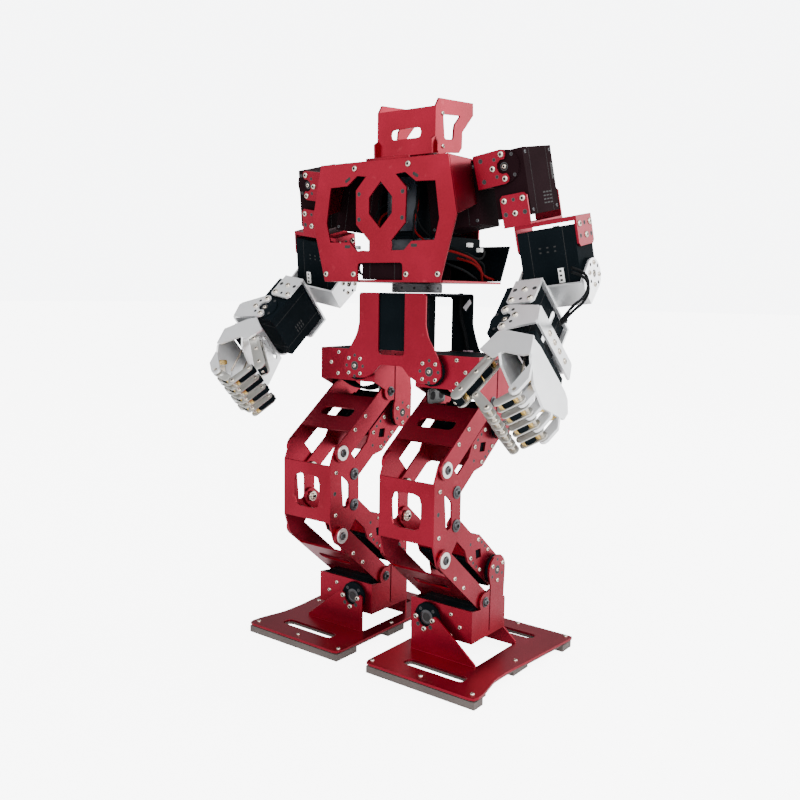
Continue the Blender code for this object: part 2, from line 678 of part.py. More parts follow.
def shoulder_frames(side):
    """Each arm joint's frame in the robot's: u outward, v back along the horn, w up the limb."""
    turn = {key: math.radians(table[side]) for key, table in (
        ("pitch", ARM_PITCH), ("roll", ARM_ROLL), ("bend", ELBOW_BEND), ("wrist", WRIST_TURN))}
    cant = Matrix.Rotation(-math.radians(SHOULDER_CANT), 4, "Y")
    chest = Matrix.Translation(SHOULDER) @ cant
    pitch = chest @ Matrix.Rotation(-turn["pitch"], 4, "X")
    roll = pitch @ Matrix.Translation((0, -SHOULDER_REACH, 0))
    roll = roll @ Matrix.Rotation(-turn["roll"], 4, "Y")
    elbow = roll @ Matrix.Translation((0, *ELBOW_AXIS)) @ Matrix.Rotation(-turn["bend"], 4, "X")
    across = FOREARM_MIDDLE - side * WRIST_OFFSET
    wrist = elbow @ Matrix.Translation((across, FOREARM_DROP, -FOREARM_LENGTH))
    hand = wrist @ Matrix.Rotation(-turn["wrist"], 4, "Y")
    frames = {"chest": chest, "pitch": pitch, "roll": roll}
    frames |= {"elbow": elbow, "wrist": wrist, "hand": hand}
    return {key: mirror(side) @ frame for key, frame in frames.items()}


def horn_tab(reach, low, high):
    """A tab screwed to a horn: open towards +u round its middle, and running out to -reach."""
    mouth = arc(0.0, 0.0, 4.6, 70, 290, 6)
    lip = HORN_PITCH + 3.2
    line = [(-reach, high), (-reach, low), (-3.0, -lip)]
    line += arc(0.0, -HORN_PITCH, 3.2, -90, 40, 3) + mouth[::-1]
    line += arc(0.0, HORN_PITCH, 3.2, -40, 90, 3) + [(-3.0, lip)]
    return line


def tab_servo(frame, near, far, low, high, horn_radius=HORN_RADIUS):
    """A servo whose horn axis is v: body, horn and idler."""
    depth = BRACKET_DEPTH - 2 * SHEET - GAP
    pieces = [block(low, high, SHEET + GAP + 1.4, depth, -far, near, frame)]
    pieces.append(disc("y", SHEET + GAP, SHEET + GAP + 2, 0.0, 0.0, horn_radius, 16, frame))
    rear = disc("y", depth - 1, BRACKET_DEPTH - SHEET - GAP, 0.0, 0.0, horn_radius, 16, frame)
    return pieces + [rear]


def mount_tab(middle, top, bottom):
    return rounded(box_outline(middle - 9.7, bottom, middle + 9.7, top), 2.0, 1)


def make_upper_arm(build, side, frames):
    name = side_name(side)
    pivot = frames["pitch"].translation
    pitch_to_roll = frames["pitch"] @ Matrix.Translation((0, -SHOULDER_REACH, 0))
    tab = horn_tab(20.0, -10.8, 10.8)
    pieces = []
    for low in (0.0, BRACKET_DEPTH - SHEET):
        pieces.append(sheet("y", low, low + SHEET, tab, (), pitch_to_roll))
    pieces.append(block(-20.5, -19.0, 0.0, BRACKET_DEPTH, -10.8, 10.8, pitch_to_roll))
    build.node(f"{name}_shoulder_bracket", "red", pivot, pieces)

    frame = frames["roll"]
    pivot = frame.translation
    shift = 1.6 * side
    low, high = shift - 12.0, shift + 12.0
    pieces = tab_servo(frame, SERVO_NEAR, SERVO_FAR, low, high)
    build.node(f"{name}_shoulder_servo", "brown", pivot, pieces)

    middle = HORN_OFFSET * side
    top, floor = -BRACKET_ROW + 3.5, -BRACKET_ROW - 15.6
    pieces = []
    for low in (0.0, BRACKET_DEPTH - SHEET):
        pieces.append(sheet("y", low, low + SHEET, mount_tab(middle, top, floor - SHEET), (), frame))
    pieces.append(block(middle - 9.7, middle + 9.7, 0.0, BRACKET_DEPTH, floor - SHEET, floor, frame))
    centre = ELBOW_MIDDLE[side]
    half = SERVO_DEPTH / 2 + GAP
    y0, y1 = ELBOW_AXIS[0] - 11.2, ELBOW_AXIS[0] + 11.2
    under = floor - SHEET
    x0, x1 = centre - half - SHEET, centre + half + SHEET
    pieces.append(block(x0, x1, y0, y1, under - 2.2, under + 0.4, frame))
    ear = rounded(box_outline(y0, under - 18.5, y1, under - 0.4), 2.0, 1)
    for low in (x0, x1 - SHEET):
        pieces.append(sheet("x", low, low + SHEET, ear, (), frame))
    build.node(f"{name}_upper_arm_bracket", "red", pivot, pieces)

    y, z = ELBOW_AXIS
    half = SERVO_DEPTH / 2
    body = block(
        centre - half, centre + half, y - 12.0, y + 12.0, z - SERVO_NEAR, under - 2.2 - 2.6, frame
    )
    pieces = [body]
    for low, high in ((-half - 2.0, 1 - half), (half - 1, half + 2.0)):
        pieces.append(disc("x", centre + low, centre + high, y, z, HORN_RADIUS, 16, frame))
    build.node(f"{name}_elbow_servo", "black", pivot, pieces)


def make_forearm(build, side, frames):
    name = side_name(side)
    frame = frames["elbow"]
    pivot = frame @ Vector((ELBOW_MIDDLE[side], 0, 0))
    inner = SERVO_DEPTH / 2 + 2.0 + GAP
    centre = ELBOW_MIDDLE[side]
    x0, x1 = centre - inner - SHEET, centre + inner + SHEET
    web_top = -17.0
    lobe = wrap(ring(0.0, 0.0, 10.0, 16), [(-9.0, web_top - SHEET), (9.0, web_top - SHEET)])
    hole = ring(0.0, 0.0, 2.6, 8)
    pieces = []
    for low in (x0, x1 - SHEET):
        pieces.append(sheet("x", low, low + SHEET, lobe, (hole,), frame))
    pieces.append(block(x0, x1, -9.0, 9.0, web_top - SHEET, web_top, frame))
    middle = FOREARM_MIDDLE
    front = FOREARM_DROP
    tab_low = FOREARM_ROW - 3.5 - FOREARM_LENGTH
    plate_top = web_top - SHEET + 0.3
    for low in (front, front + BRACKET_DEPTH - SHEET):
        pieces.append(sheet("y", low, low + SHEET, mount_tab(middle, plate_top, tab_low), (), frame))
    pieces.append(block(
        middle - 9.7, middle + 9.7, front, front + BRACKET_DEPTH, plate_top - SHEET, plate_top, frame))
    build.node(f"{name}_forearm_bracket", "silver", pivot, pieces)

    wrist = frames["wrist"]
    far = FOREARM_LENGTH + plate_top - SHEET - GAP
    shift = 1.6 * side
    low, high = shift - 12.0, shift + 12.0
    pieces = tab_servo(wrist, far, SERVO_NEAR, low, high)
    build.node(f"{name}_wrist_servo", "black", wrist.translation, pieces)


def make_hand(build, side, frames):
    name = side_name(side)
    frame = frames["hand"]
    pivot = frame.translation
    turned = frame @ Matrix.Diagonal((-1, 1, 1, 1))
    tab = horn_tab(22.6, -11.4, 3.8)
    pieces = []
    for low in (0.0, BRACKET_DEPTH - SHEET):
        pieces.append(sheet("y", low, low + SHEET, tab, (), turned))
    pieces.append(sheet("x", 22.4, 22.4 + SHEET, rounded(
        box_outline(0.0, -11.4, 53.0, 3.8), 2.0, 2), (), frame))
    build.node(f"{name}_hand_bracket", "silver", pivot, pieces)

    servo = block(8.6, 22.0, 3.5, 47.0, -24.2, -14.7, frame)
    build.node(f"{name}_hand_servo", "black", pivot, [servo])

    back = [(-1.8, -27.0), (8.5, -24.6), (22.0, -24.6), (48.5, -24.6), (53.5, -27.0), (56.5, -36.0)]
    back += [(52.5, -44.5), (24.5, -60.0), (8.5, -56.0), (0.0, -42.0)]
    facet = [(-0.8, -14.0), (6.0, -15.4), (23.9, -25.2), (23.9, -40.0), (19.0, -40.0), (6.0, -33.2)]
    facet += [(-1.5, -36.0), (-11.0, -26.5)]
    inner = [(-1.8, -14.6), (2.0, -11.8), (48.0, -11.8), (48.0, -40.0), (36.0, -48.0), (3.0, -40.0)]
    inner += [(-1.8, -34.0)]
    inner_slot = slot(18.0, -18.5, 43.0, -14.5, 3)
    lug = wrap(ring(*KNUCKLE, 3.4, 10), [(22.5, -46.0), (23.9, -46.0), (23.9, -57.0)])
    pieces = [sheet("x", 22.5, 24.0, back, (), frame)]
    pieces.append(sheet("y", -1.8, -0.3, facet, (), frame))
    pieces.append(sheet("x", 2.6, 4.1, inner, (inner_slot,), frame))
    gaps = [(a + b) / 2 for a, b in zip(FINGER_ROW, FINGER_ROW[1:])]
    for v in (FINGER_ROW[0] - 5.5, *gaps, FINGER_ROW[-1] + 5.5):
        bore = (ring(*KNUCKLE, 1.5 + GAP, 8),)
        pieces.append(sheet("y", v - 1.1, v + 1.1, lug, bore, frame))
    build.node(f"{name}_palm", "silver", pivot, pieces)

    make_fingers(build, name, frame)

    base, tip = Vector(THUMB_BASE), Vector(THUMB_TIP)
    side_plate = wrap(ring(*base, 3.8, 12), ring(*tip, 4.4, 12))
    pieces = [sheet("y", v, v + 1.4, side_plate, (), frame) for v in (1.2, 8.6)]
    for share in (0.12, 0.42, 0.82):
        spot = base.lerp(tip, share)
        pieces.append(disc("y", 1.6, 9.4, *spot, 1.7, 8, frame))
    build.node(f"{name}_thumb", "silver", frame @ Vector((base.x, 5.0, base.y)), pieces)


def make_fingers(build, name, frame):
    """Both rows of finger links. Each row's links share a rod, since they move together."""
    knuckle, joint, tip = Vector(KNUCKLE), Vector(FINGER_JOINT), Vector(FINGER_TIP)
    ahead = (joint - knuckle).normalized()
    half = FINGER_WIDTH / 2
    first, last = FINGER_ROW[0] - 6.0, FINGER_ROW[-1] + 6.0
    link = wrap(ring(*knuckle, 3.2, 10), ring(*(joint - ahead * 6.9), 3.0, 10))
    pieces = [disc("y", first, last, *knuckle, 1.5, 8, frame)]
    for v in FINGER_ROW:
        pieces.append(sheet("y", v - half, v + half, link, (), frame))
    pivot = frame @ Vector((knuckle.x, 25.0, knuckle.y))
    build.node(f"{name}_fingers_proximal", "silver", pivot, pieces)

    link = wrap(ring(*joint, 3.4, 10), ring(*tip, 3.0, 10))
    pieces = [disc("y", FINGER_ROW[0], FINGER_ROW[-1], *joint, 1.5, 8, frame)]
    for v in FINGER_ROW:
        pieces.append(sheet("y", v - half, v + half, link, (), frame))
    pivot = frame @ Vector((joint.x, 25.0, joint.y))
    build.node(f"{name}_fingers_distal", "silver", pivot, pieces)


def make_arm(build, side):
    frames = shoulder_frames(side)
    make_upper_arm(build, side, frames)
    make_forearm(build, side, frames)
    make_hand(build, side, frames)


def main():
    clear_scene()
    build = Builder()
    for side in (1, -1):
        make_leg(build, side)
        make_arm(build, side)
    make_pelvis(build)
    pivot = TURNTABLE[:3]
    make_waist(build)
    make_chest_front(build, pivot)
    make_chest_frame(build, pivot)
    make_chest_parts(build, pivot)
    make_head(build)


main()
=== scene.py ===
"""The look of the humanoid robot kit: red folded sheet, bare metal hands, black servos and their screws."""

import math

import bmesh
import bpy
from mathutils import Matrix, Vector


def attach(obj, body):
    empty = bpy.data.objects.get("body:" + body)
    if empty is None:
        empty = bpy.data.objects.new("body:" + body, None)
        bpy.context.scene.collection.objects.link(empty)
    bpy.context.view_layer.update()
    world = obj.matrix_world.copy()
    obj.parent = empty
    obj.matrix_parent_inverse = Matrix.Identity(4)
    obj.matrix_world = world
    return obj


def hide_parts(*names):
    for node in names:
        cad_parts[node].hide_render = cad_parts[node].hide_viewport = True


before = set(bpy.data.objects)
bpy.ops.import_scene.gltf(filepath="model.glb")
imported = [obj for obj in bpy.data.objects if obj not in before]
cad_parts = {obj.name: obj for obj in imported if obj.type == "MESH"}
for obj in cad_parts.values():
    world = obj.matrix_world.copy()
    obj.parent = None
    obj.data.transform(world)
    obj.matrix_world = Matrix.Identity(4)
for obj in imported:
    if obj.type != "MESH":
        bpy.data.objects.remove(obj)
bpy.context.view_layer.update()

MM = 0.001
CENTRE_OFFSET = Vector((-1.87, -13.65, 0.0))
GAP = 0.3
SHEET = 1.5

# Servos and their horns.
SERVO_NEAR, SERVO_FAR, SERVO_DEPTH = 9.5, 32.5, 40.0
HORN_PITCH = 7.6
SEAM_PROUD, SEAM_WIDTH = 0.06, 0.28

# Legs.
LEG_MIDDLE, KNEE_HALF, LINK_HALF, EAR_HALF = 44.25, 22.45, 24.15, 25.95
FOOT_TOP, FLAP_FRONT, FLAP_BACK = 7.8, -28.0, 28.0
ANKLE_ROLL, HIP_ROLL = (34.2, 32.3), (33.2, 206.9)
KNEE = {
    "upper_front": Vector((-54.5, 147.6)),
    "lower_front": Vector((-54.5, 87.8)),
    "upper_rear": Vector((-39.7, 130.2)),
    "lower_rear": Vector((-39.6, 107.6)),
}
THIGH, SHANK = Vector((52.0, 39.7)), Vector((49.5, -41.6))
REAR_HALF, ROLLER_HALF = 20.65, 18.9
LINK_SERVO_HALF, LINK_SERVO_THICK, LINK_HORN_HALF = 19.0, 10.6, 24.25
HIP_SCREWS = [(52.5, 215.6), (59.8, 207.8), (53.1, 199.8)]
ANKLE_SCREWS = [(52.9, 38.1), (60.5, 30.5), (52.9, 22.7)]
END_FRONT, END_BACK, ROLL_SERVO_THICK = -22.0, 22.1, 11.7

# Body.
PELVIS_FRONT, PELVIS_BACK, WAIST_DRIVE_BACK = -26.9, 29.5, 10.0
CHEST_FRONT, CHEST_BACK, CHEST_TOP = -41.0, 38.0, 348.8
TURNTABLE_Y, DISC_RADIUS, DISC_MIDDLE = 3.0, 18.3, 263.7
HEAD_FLOOR = 356.5
WAIST_SERVO = (-18.0, 18.0, -38.0, 20.5, 269.0, 284.0)
PITCH_CASE = (-66.0, -26.0, -12.0, 12.0, -34.3, 6.0)
CHEST_LEADS = {
    "red": [[(12, -14, 326), (16, -20, 318), (15, -22, 304), (18, -14, 296)],
            [(-12, -14, 318), (-16, -21, 311), (-15, -22, 300), (-20, -13.4, 294)]],
    "black": [[(-18.9, -30, 283), (-19.8, -38, 279.4), (-19.6, -38.2, 274.5), (-18.9, -30, 270.2)],
              [(12, -14, 337), (16, -19, 331), (17, -21, 310), (24, -13.4, 297)],
              [(12, -14, 322), (15, -22, 314), (16, -24, 300), (10, -14, 291)],
              [(-12, -14, 334), (-16, -20, 328), (-17, -21, 310), (-26, -13.4, 297)],
              [(-12, -14, 324), (-16, -24, 316), (-17, -24, 303), (-12, -14, 291)]],
}
SIDE_LEADS = {
    "red": [[(34, -36.8, 288.5), (44, -30, 288.5), (49, -17.5, 286.9), (49, 9.5, 278.3), (46, 17.7, 269.6)],
            [(44, -12, 284), (49, -0.5, 281.2), (47, 20.1, 272.6), (46, 33, 270.4)]],
    "black": [[(40, -20, 292), (49, -8.8, 287.3), (50, 6, 284), (46, 19.7, 288), (40, 28, 292)],
              [(44, -2, 284), (50, 11.2, 281), (48, 16.6, 274.5), (44, 24, 271)],
              [(36, -28, 284), (44, -24, 280), (48, -10, 276), (46, 8, 271), (40, 20, 270.2)]],
}

# Arms.
SHOULDER, SHOULDER_CANT, SHOULDER_REACH = (84.3, -1.9, 344.0), 8.5, 22.3
ARM_PITCH = {1: -9.8, -1: -14.3}
ARM_ROLL = {1: -1.7, -1: 0.7}
ELBOW_BEND = {1: 56.0, -1: 59.1}
WRIST_TURN = {1: 11.0, -1: -16.0}
ELBOW_MIDDLE = {1: 20.0, -1: -1.0}
HORN_OFFSET, FOREARM_MIDDLE, WRIST_OFFSET = 3.8, 10.6, 6.3
BRACKET_ROW, ELBOW_AXIS = 21.3, (16.5, -75.5)
FOREARM_LENGTH, FOREARM_DROP, FOREARM_ROW, BRACKET_DEPTH = 51.5, -16.7, 15.7, 46.0
TAB_PITCH, ARM_CASE_SHIFT, ARM_CASE_HALF, ARM_CASE_FRONT = 8.6, 1.6, 12.0, 3.2
FOREARM_LOOP = [(43.2, -23.5, -20.6), (45.7, -15.1, -15.8), (45.7, -7.4, -13.6), (45.7, -4.0, -16.4),
                (45.7, -4.2, -25.6), (43.6, -9.5, -42.0)]

# Hands.
FINGER_ROW, FINGER_WIDTH = (8.0, 19.0, 30.0, 41.0), 6.4
KNUCKLE, FINGER_JOINT, FINGER_TIP = (15.5, -63.0), (-1.5, -70.5), (-10.5, -58.5)
THUMB_BASE, THUMB_TIP = (-4.0, -31.0), (-21.5, -57.5)

# Surfaces.
PATCH_SCALE, SCUFF_SCALE, GRAIN_HEIGHT = 28.0, 140.0, 0.00012
PLAIN_IOR, MATT_IOR, MATT_BELOW = 1.5, 1.15, 0.1

# Studio.
FLOOR_REACH, FLOOR_GLOW, SEEN_WHITE = 14.0, 6.4, 7.3
BRIGHT_SIDE, WALL_FADE, WALL_LIGHT = (0.97, -0.24, 0.0), (-0.55, 0.7), (0.38, 3.2)
LIT_SPOT = (0.0, 0.0, 0.2)
LIGHTS = {
    "key": ((1.15, -0.95, 1.15), (0.8, 0.8), 20.0),
    "side": ((0.95, 1.2, 0.55), (0.7, 1.1), 9.0),
    "fill": ((-0.9, -1.25, 0.7), (0.9, 0.9), 5.0),
    "back": ((-0.5, 1.2, 1.2), (1.0, 0.6), 4.0),
}
CAMERA_PLACE, CAMERA_AHEAD = (375.41, -510.54, 260.69), (-0.59945, 0.79087, -0.12322)
CAMERA_ROLL, CAMERA_LENS, CAMERA_SENSOR = 0.94, 39.16, 36.0
FLAT = Matrix.Identity(4)


# Materials.


def map_range(nodes, links, factor, limits):
    """A Map Range node on this value: from low, from high, to low, to high."""
    node = nodes.new("ShaderNodeMapRange")
    for key, value in zip(("From Min", "From Max", "To Min", "To Max"), limits):
        node.inputs[key].default_value = value
    links.new(factor, node.inputs["Value"])
    return node.outputs["Result"]


def shade(name, dark, light, metallic, rough, scale, bump, stretch=(1, 1, 1), wear=0.0, pale=None,
          specular=0.5):
    """A Principled material: noise mixes two colours, sets the roughness and lifts a fine grain."""
    material = bpy.data.materials.new(name)
    material.use_nodes = True
    nodes, links = material.node_tree.nodes, material.node_tree.links
    shader = nodes["Principled BSDF"]
    shader.inputs["Metallic"].default_value = metallic
    shader.inputs["Specular IOR Level"].default_value = specular
    shader.inputs["IOR"].default_value = PLAIN_IOR if specular > MATT_BELOW else MATT_IOR
    where = nodes.new("ShaderNodeTexCoord")
    spread = nodes.new("ShaderNodeMapping")
    spread.inputs["Scale"].default_value = stretch
    links.new(where.outputs["Object"], spread.inputs["Vector"])

    def noise(size, detail):
        texture = nodes.new("ShaderNodeTexNoise")
        texture.inputs["Scale"].default_value = size
        texture.inputs["Detail"].default_value = detail
        links.new(spread.outputs[0], texture.inputs["Vector"])
        return texture.outputs["Fac"]

    def blend(factor, first, second):
        mix = nodes.new("ShaderNodeMix")
        mix.data_type = "RGBA"
        for socket, value in ((mix.inputs[6], first), (mix.inputs[7], second)):
            if isinstance(value, bpy.types.NodeSocket):
                links.new(value, socket)
            else:
                socket.default_value = (*value, 1.0)
        links.new(factor, mix.inputs[0])
        return mix.outputs[2]

    broad = noise(PATCH_SCALE, 4.0)
    fine = noise(scale, 3.0)
    colour = blend(map_range(nodes, links, broad, (0.3, 0.7, 0.0, 1.0)), dark, light)
    if wear:
        scuffs = map_range(nodes, links, noise(SCUFF_SCALE, 6.0), (0.66, 0.78, 0.0, wear))
        colour = blend(scuffs, colour, pale)
    links.new(colour, shader.inputs["Base Color"])
    roughness = map_range(nodes, links, fine, (0.25, 0.75, *rough))
    links.new(roughness, shader.inputs["Roughness"])
    lift = nodes.new("ShaderNodeBump")
    lift.inputs["Strength"].default_value = bump
    lift.inputs["Distance"].default_value = GRAIN_HEIGHT
    links.new(fine, lift.inputs["Height"])
    links.new(lift.outputs["Normal"], shader.inputs["Normal"])
    return material


RED_DARK, RED_LIGHT = (0.175, 0.003, 0.012), (0.235, 0.005, 0.020)
MATERIALS = {
    "red": shade("anodised_red", RED_DARK, RED_LIGHT, 0.85, (0.26, 0.38), 1800, 0.08, wear=0.2,
                 pale=(0.48, 0.07, 0.09)),
    "silver": shade("bare_aluminium", (0.84, 0.85, 0.86), (0.93, 0.93, 0.93), 0.8, (0.33, 0.41),
                    300, 0.0, (1.0, 0.25, 1.0), 0.1, (0.97, 0.97, 0.97)),
    "finger": shade("finger_plate", (0.44, 0.43, 0.40), (0.58, 0.57, 0.53), 0.9, (0.30, 0.38),
                    300, 0.0, (1.0, 0.25, 1.0), 0.1, (0.72, 0.71, 0.68)),
    "black": shade("servo_plastic", (0.0020, 0.0034, 0.0044), (0.0040, 0.0062, 0.0078), 0.0,
                   (0.42, 0.58), 2600, 0.2, wear=0.3, pale=(0.012, 0.015, 0.018), specular=0.07),
    "brown": shade("shoulder_plastic", (0.0065, 0.0024, 0.0032), (0.0110, 0.0045, 0.0058), 0.0,
                   (0.42, 0.58), 2600, 0.2, wear=0.3, pale=(0.018, 0.011, 0.012), specular=0.05),
    "rubber": shade("sole_rubber", (0.055, 0.042, 0.038), (0.095, 0.076, 0.068), 0.0,
                    (0.72, 0.92), 1400, 0.5, wear=0.4, pale=(0.16, 0.14, 0.13)),
    "nickel": shade("nickel", (0.50, 0.44, 0.37), (0.66, 0.59, 0.50), 0.95, (0.18, 0.30), 2400, 0.05),
    "steel": shade("dark_steel", (0.045, 0.045, 0.048), (0.085, 0.085, 0.09), 0.9, (0.3, 0.45),
                   2400, 0.1),
    "socket": shade("socket_shadow", (0.004, 0.004, 0.004), (0.010, 0.009, 0.009), 0.0, (0.7, 0.9),
                    2400, 0.1),
    "washer": shade("pale_washer", (0.62, 0.58, 0.55), (0.76, 0.72, 0.69), 0.9, (0.28, 0.4), 2200,
                    0.08),
    "brass": shade("brass", (0.52, 0.34, 0.11), (0.68, 0.47, 0.17), 1.0, (0.2, 0.34), 2200, 0.06),
    "white": shade("white_nylon", (0.68, 0.68, 0.66), (0.80, 0.80, 0.78), 0.0, (0.4, 0.55), 2000,
                   0.1),
    "cable": shade("black_cable", (0.0030, 0.0032, 0.0036), (0.0060, 0.0064, 0.0070), 0.0,
                   (0.42, 0.56), 1600, 0.2, specular=0.09),
    "cable_red": shade("red_cable", (0.085, 0.003, 0.004), (0.130, 0.005, 0.006), 0.0,
                       (0.42, 0.56), 1600, 0.2, specular=0.09),
    "board": shade("dark_board", (0.006, 0.010, 0.016), (0.012, 0.018, 0.028), 0.1, (0.3, 0.5),
                   1200, 0.2),
    "tag": shade("paper_tag", (0.52, 0.51, 0.53), (0.62, 0.61, 0.62), 0.0, (0.6, 0.75), 900, 0.1),
    "grey": shade("grey_spacer", (0.13, 0.13, 0.13), (0.19, 0.19, 0.18), 0.1, (0.4, 0.55), 900, 0.1),
    "mauve": shade("mauve_connector", (0.20, 0.14, 0.17), (0.28, 0.20, 0.24), 0.0, (0.4, 0.55), 900,
                   0.1),
    "pin_gold": shade("contact", (0.66, 0.52, 0.26), (0.78, 0.62, 0.33), 1.0, (0.2, 0.35), 2000,
                      0.05),
}


# Outlines.


def ring(x, y, radius, steps=16, start=0.0):
    turn = 2 * math.pi / steps
    angles = [start + turn * i for i in range(steps)]
    return [(x + radius * math.cos(a), y + radius * math.sin(a)) for a in angles]


def box_outline(x0, y0, x1, y1):
    return [(x0, y0), (x1, y0), (x1, y1), (x0, y1)]


def rounded(points, radius, steps=4):
    """The outline with every corner turned into an arc of about this radius."""
    result = []
    count = len(points)
    for i, point in enumerate(points):
        here = Vector(point)
        before = Vector(points[i - 1]) - here
        after = Vector(points[(i + 1) % count]) - here
        reach = min(radius, 0.45 * before.length, 0.45 * after.length)
        start = here + before.normalized() * reach
        end = here + after.normalized() * reach
        for k in range(steps + 1):
            t = k / steps
            result.append(tuple(start * (1 - t) ** 2 + here * 2 * t * (1 - t) + end * t * t))
    return result


def slot(x0, y0, x1, y1):
    return rounded(box_outline(x0, y0, x1, y1), min(x1 - x0, y1 - y0) / 2, 6)


def turns_right(a, b, p):
    return (b[0] - a[0]) * (p[1] - a[1]) - (b[1] - a[1]) * (p[0] - a[0]) <= 1e-9


def wrap(*outlines):
    """The convex outline round all these points."""
    points = sorted({(round(x, 6), round(y, 6)) for line in outlines for x, y in line})
    halves = []
    for run in (points, points[::-1]):
        half = []
        for p in run:
            while len(half) > 1 and turns_right(half[-2], half[-1], p):
                half.pop()
            half.append(p)
        halves += half[:-1]
    return halves


# Templates.

# A template is (corners, faces, which material each face takes), in millimetres.


def from_bmesh(bm):
    bm.verts.ensure_lookup_table()
    corners = [v.co.copy() for v in bm.verts]
    faces = [[v.index for v in f.verts] for f in bm.faces]
    bm.free()
    return corners, faces, [0] * len(faces)


def lathe(profile, steps=20, marks=None):
    """A solid of revolution about +Z from (radius, height) points; marks colours its bands."""
    corners, faces, kinds = [], [], []
    for radius, height in profile:
        corners += [Vector((x, y, height)) for x, y in ring(0, 0, radius, steps)]
    for band in range(len(profile) - 1):
        a, b = band * steps, (band + 1) * steps
        for i in range(steps):
            j = (i + 1) % steps
            faces.append([a + i, a + j, b + j, b + i])
            kinds.append(marks[band] if marks else 0)
    last = (len(profile) - 1) * steps
    faces.append(list(range(steps))[::-1])
    kinds.append(0)
    faces.append([last + i for i in range(steps)])
    kinds.append(marks[-1] if marks else 0)
    return corners, faces, kinds


def button(radius, height, socket):
    """A button-head screw with a socket."""
    profile = [(radius, -0.05), (radius, height * 0.3), (radius * 0.93, height * 0.62)]
    profile += [(radius * 0.74, height * 0.9), (socket * 1.18, height), (socket, height * 0.92)]
    profile += [(socket * 0.94, height * 0.35)]
    return lathe(profile, 18, [0, 0, 0, 0, 0, 1])


def washer(inner, outer, height):
    profile = [(outer, -0.05), (outer, height * 0.75), (outer - 0.25, height), (inner + 0.2, height)]
    profile += [(inner, height * 0.8), (inner * 0.98, 0.05)]
    return lathe(profile, 24, [0, 0, 0, 0, 1])


def pit(radius):
    """A drilled hole, drawn as a shadowed disc inside a broken edge."""
    profile = [(radius + 0.32, -0.02), (radius + 0.3, 0.035), (radius, 0.035), (radius * 0.96, 0.02)]
    return lathe(profile, 18, [0, 0, 1])


def drum(radius, height, edge=0.4):
    profile = [(radius - edge, 0), (radius, edge), (radius, height - edge), (radius - edge, height)]
    return lathe(profile, 32)


def cuboid(x0, x1, y0, y1, z0, z1, edge=0.4):
    """A box with rounded edges."""
    bm = bmesh.new()
    bmesh.ops.create_cube(bm, size=1.0)
    bm.transform(Matrix.Translation(((x0 + x1) / 2, (y0 + y1) / 2, (z0 + z1) / 2))
                 @ Matrix.Diagonal((x1 - x0, y1 - y0, z1 - z0, 1)))
    if edge:
        bmesh.ops.bevel(bm, geom=bm.edges[:], offset=edge, segments=2, affect="EDGES",
                        profile=0.5)
    return from_bmesh(bm)


AXIS_MAPS = {
    "x": Matrix(((0, 0, 1, 0), (1, 0, 0, 0), (0, 1, 0, 0), (0, 0, 0, 1))),
    "y": Matrix(((1, 0, 0, 0), (0, 0, 1, 0), (0, 1, 0, 0), (0, 0, 0, 1))),
    "z": Matrix.Identity(4),
}


def plate(axis, low, high, outline, holes=(), edge=0.2):
    """A flat plate with softened edges, from a filled outline pushed along the axis."""
    curve = bpy.data.curves.new("outline", "CURVE")
    curve.dimensions = "2D"
    curve.fill_mode = "BOTH"
    curve.extrude = (high - low) / 2 - edge
    curve.bevel_depth = edge
    curve.bevel_resolution = 1
    curve.offset = -edge
    for line in (outline, *holes):
        spline = curve.splines.new("POLY")
        spline.points.add(len(line) - 1)
        for point, (x, y) in zip(spline.points, line):
            point.co = (x, y, 0, 1)
        spline.use_cyclic_u = True
    helper = bpy.data.objects.new("outline", curve)
    flat = bpy.data.meshes.new_from_object(helper)
    bm = bmesh.new()
    bm.from_mesh(flat)
    bpy.data.meshes.remove(flat)
    bpy.data.objects.remove(helper)
    bpy.data.curves.remove(curve)
    bmesh.ops.remove_doubles(bm, verts=bm.verts, dist=1e-3)
    bm.transform(AXIS_MAPS[axis] @ Matrix.Translation((0, 0, (low + high) / 2)))
    bmesh.ops.recalc_face_normals(bm, faces=bm.faces)
    if bm.calc_volume(signed=True) < 0:
        bmesh.ops.reverse_faces(bm, faces=bm.faces)
    return from_bmesh(bm)


SCREW = button(2.05, 1.15, 0.95)
SMALL_SCREW = button(1.55, 0.9, 0.72)
CASE_SCREW = button(1.25, 0.5, 0.6)
HOLE = pit(1.25)
SMALL_HOLE = pit(0.9)


# Gathering pieces.


def lift(point, normal, spin=0.0):
    """Stands a template on a face: its +Z along the normal, at the point."""
    turn = Vector(normal).to_track_quat("Z", "Y").to_matrix().to_4x4()
    return Matrix.Translation(point) @ turn @ Matrix.Rotation(spin, 4, "Z")


def mirror(side):
    return Matrix.Diagonal((side, 1, 1, 1))


def show(name, data):
    """A new object in the scene."""
    item = bpy.data.objects.new(name, data)
    bpy.context.scene.collection.objects.link(item)
    return item


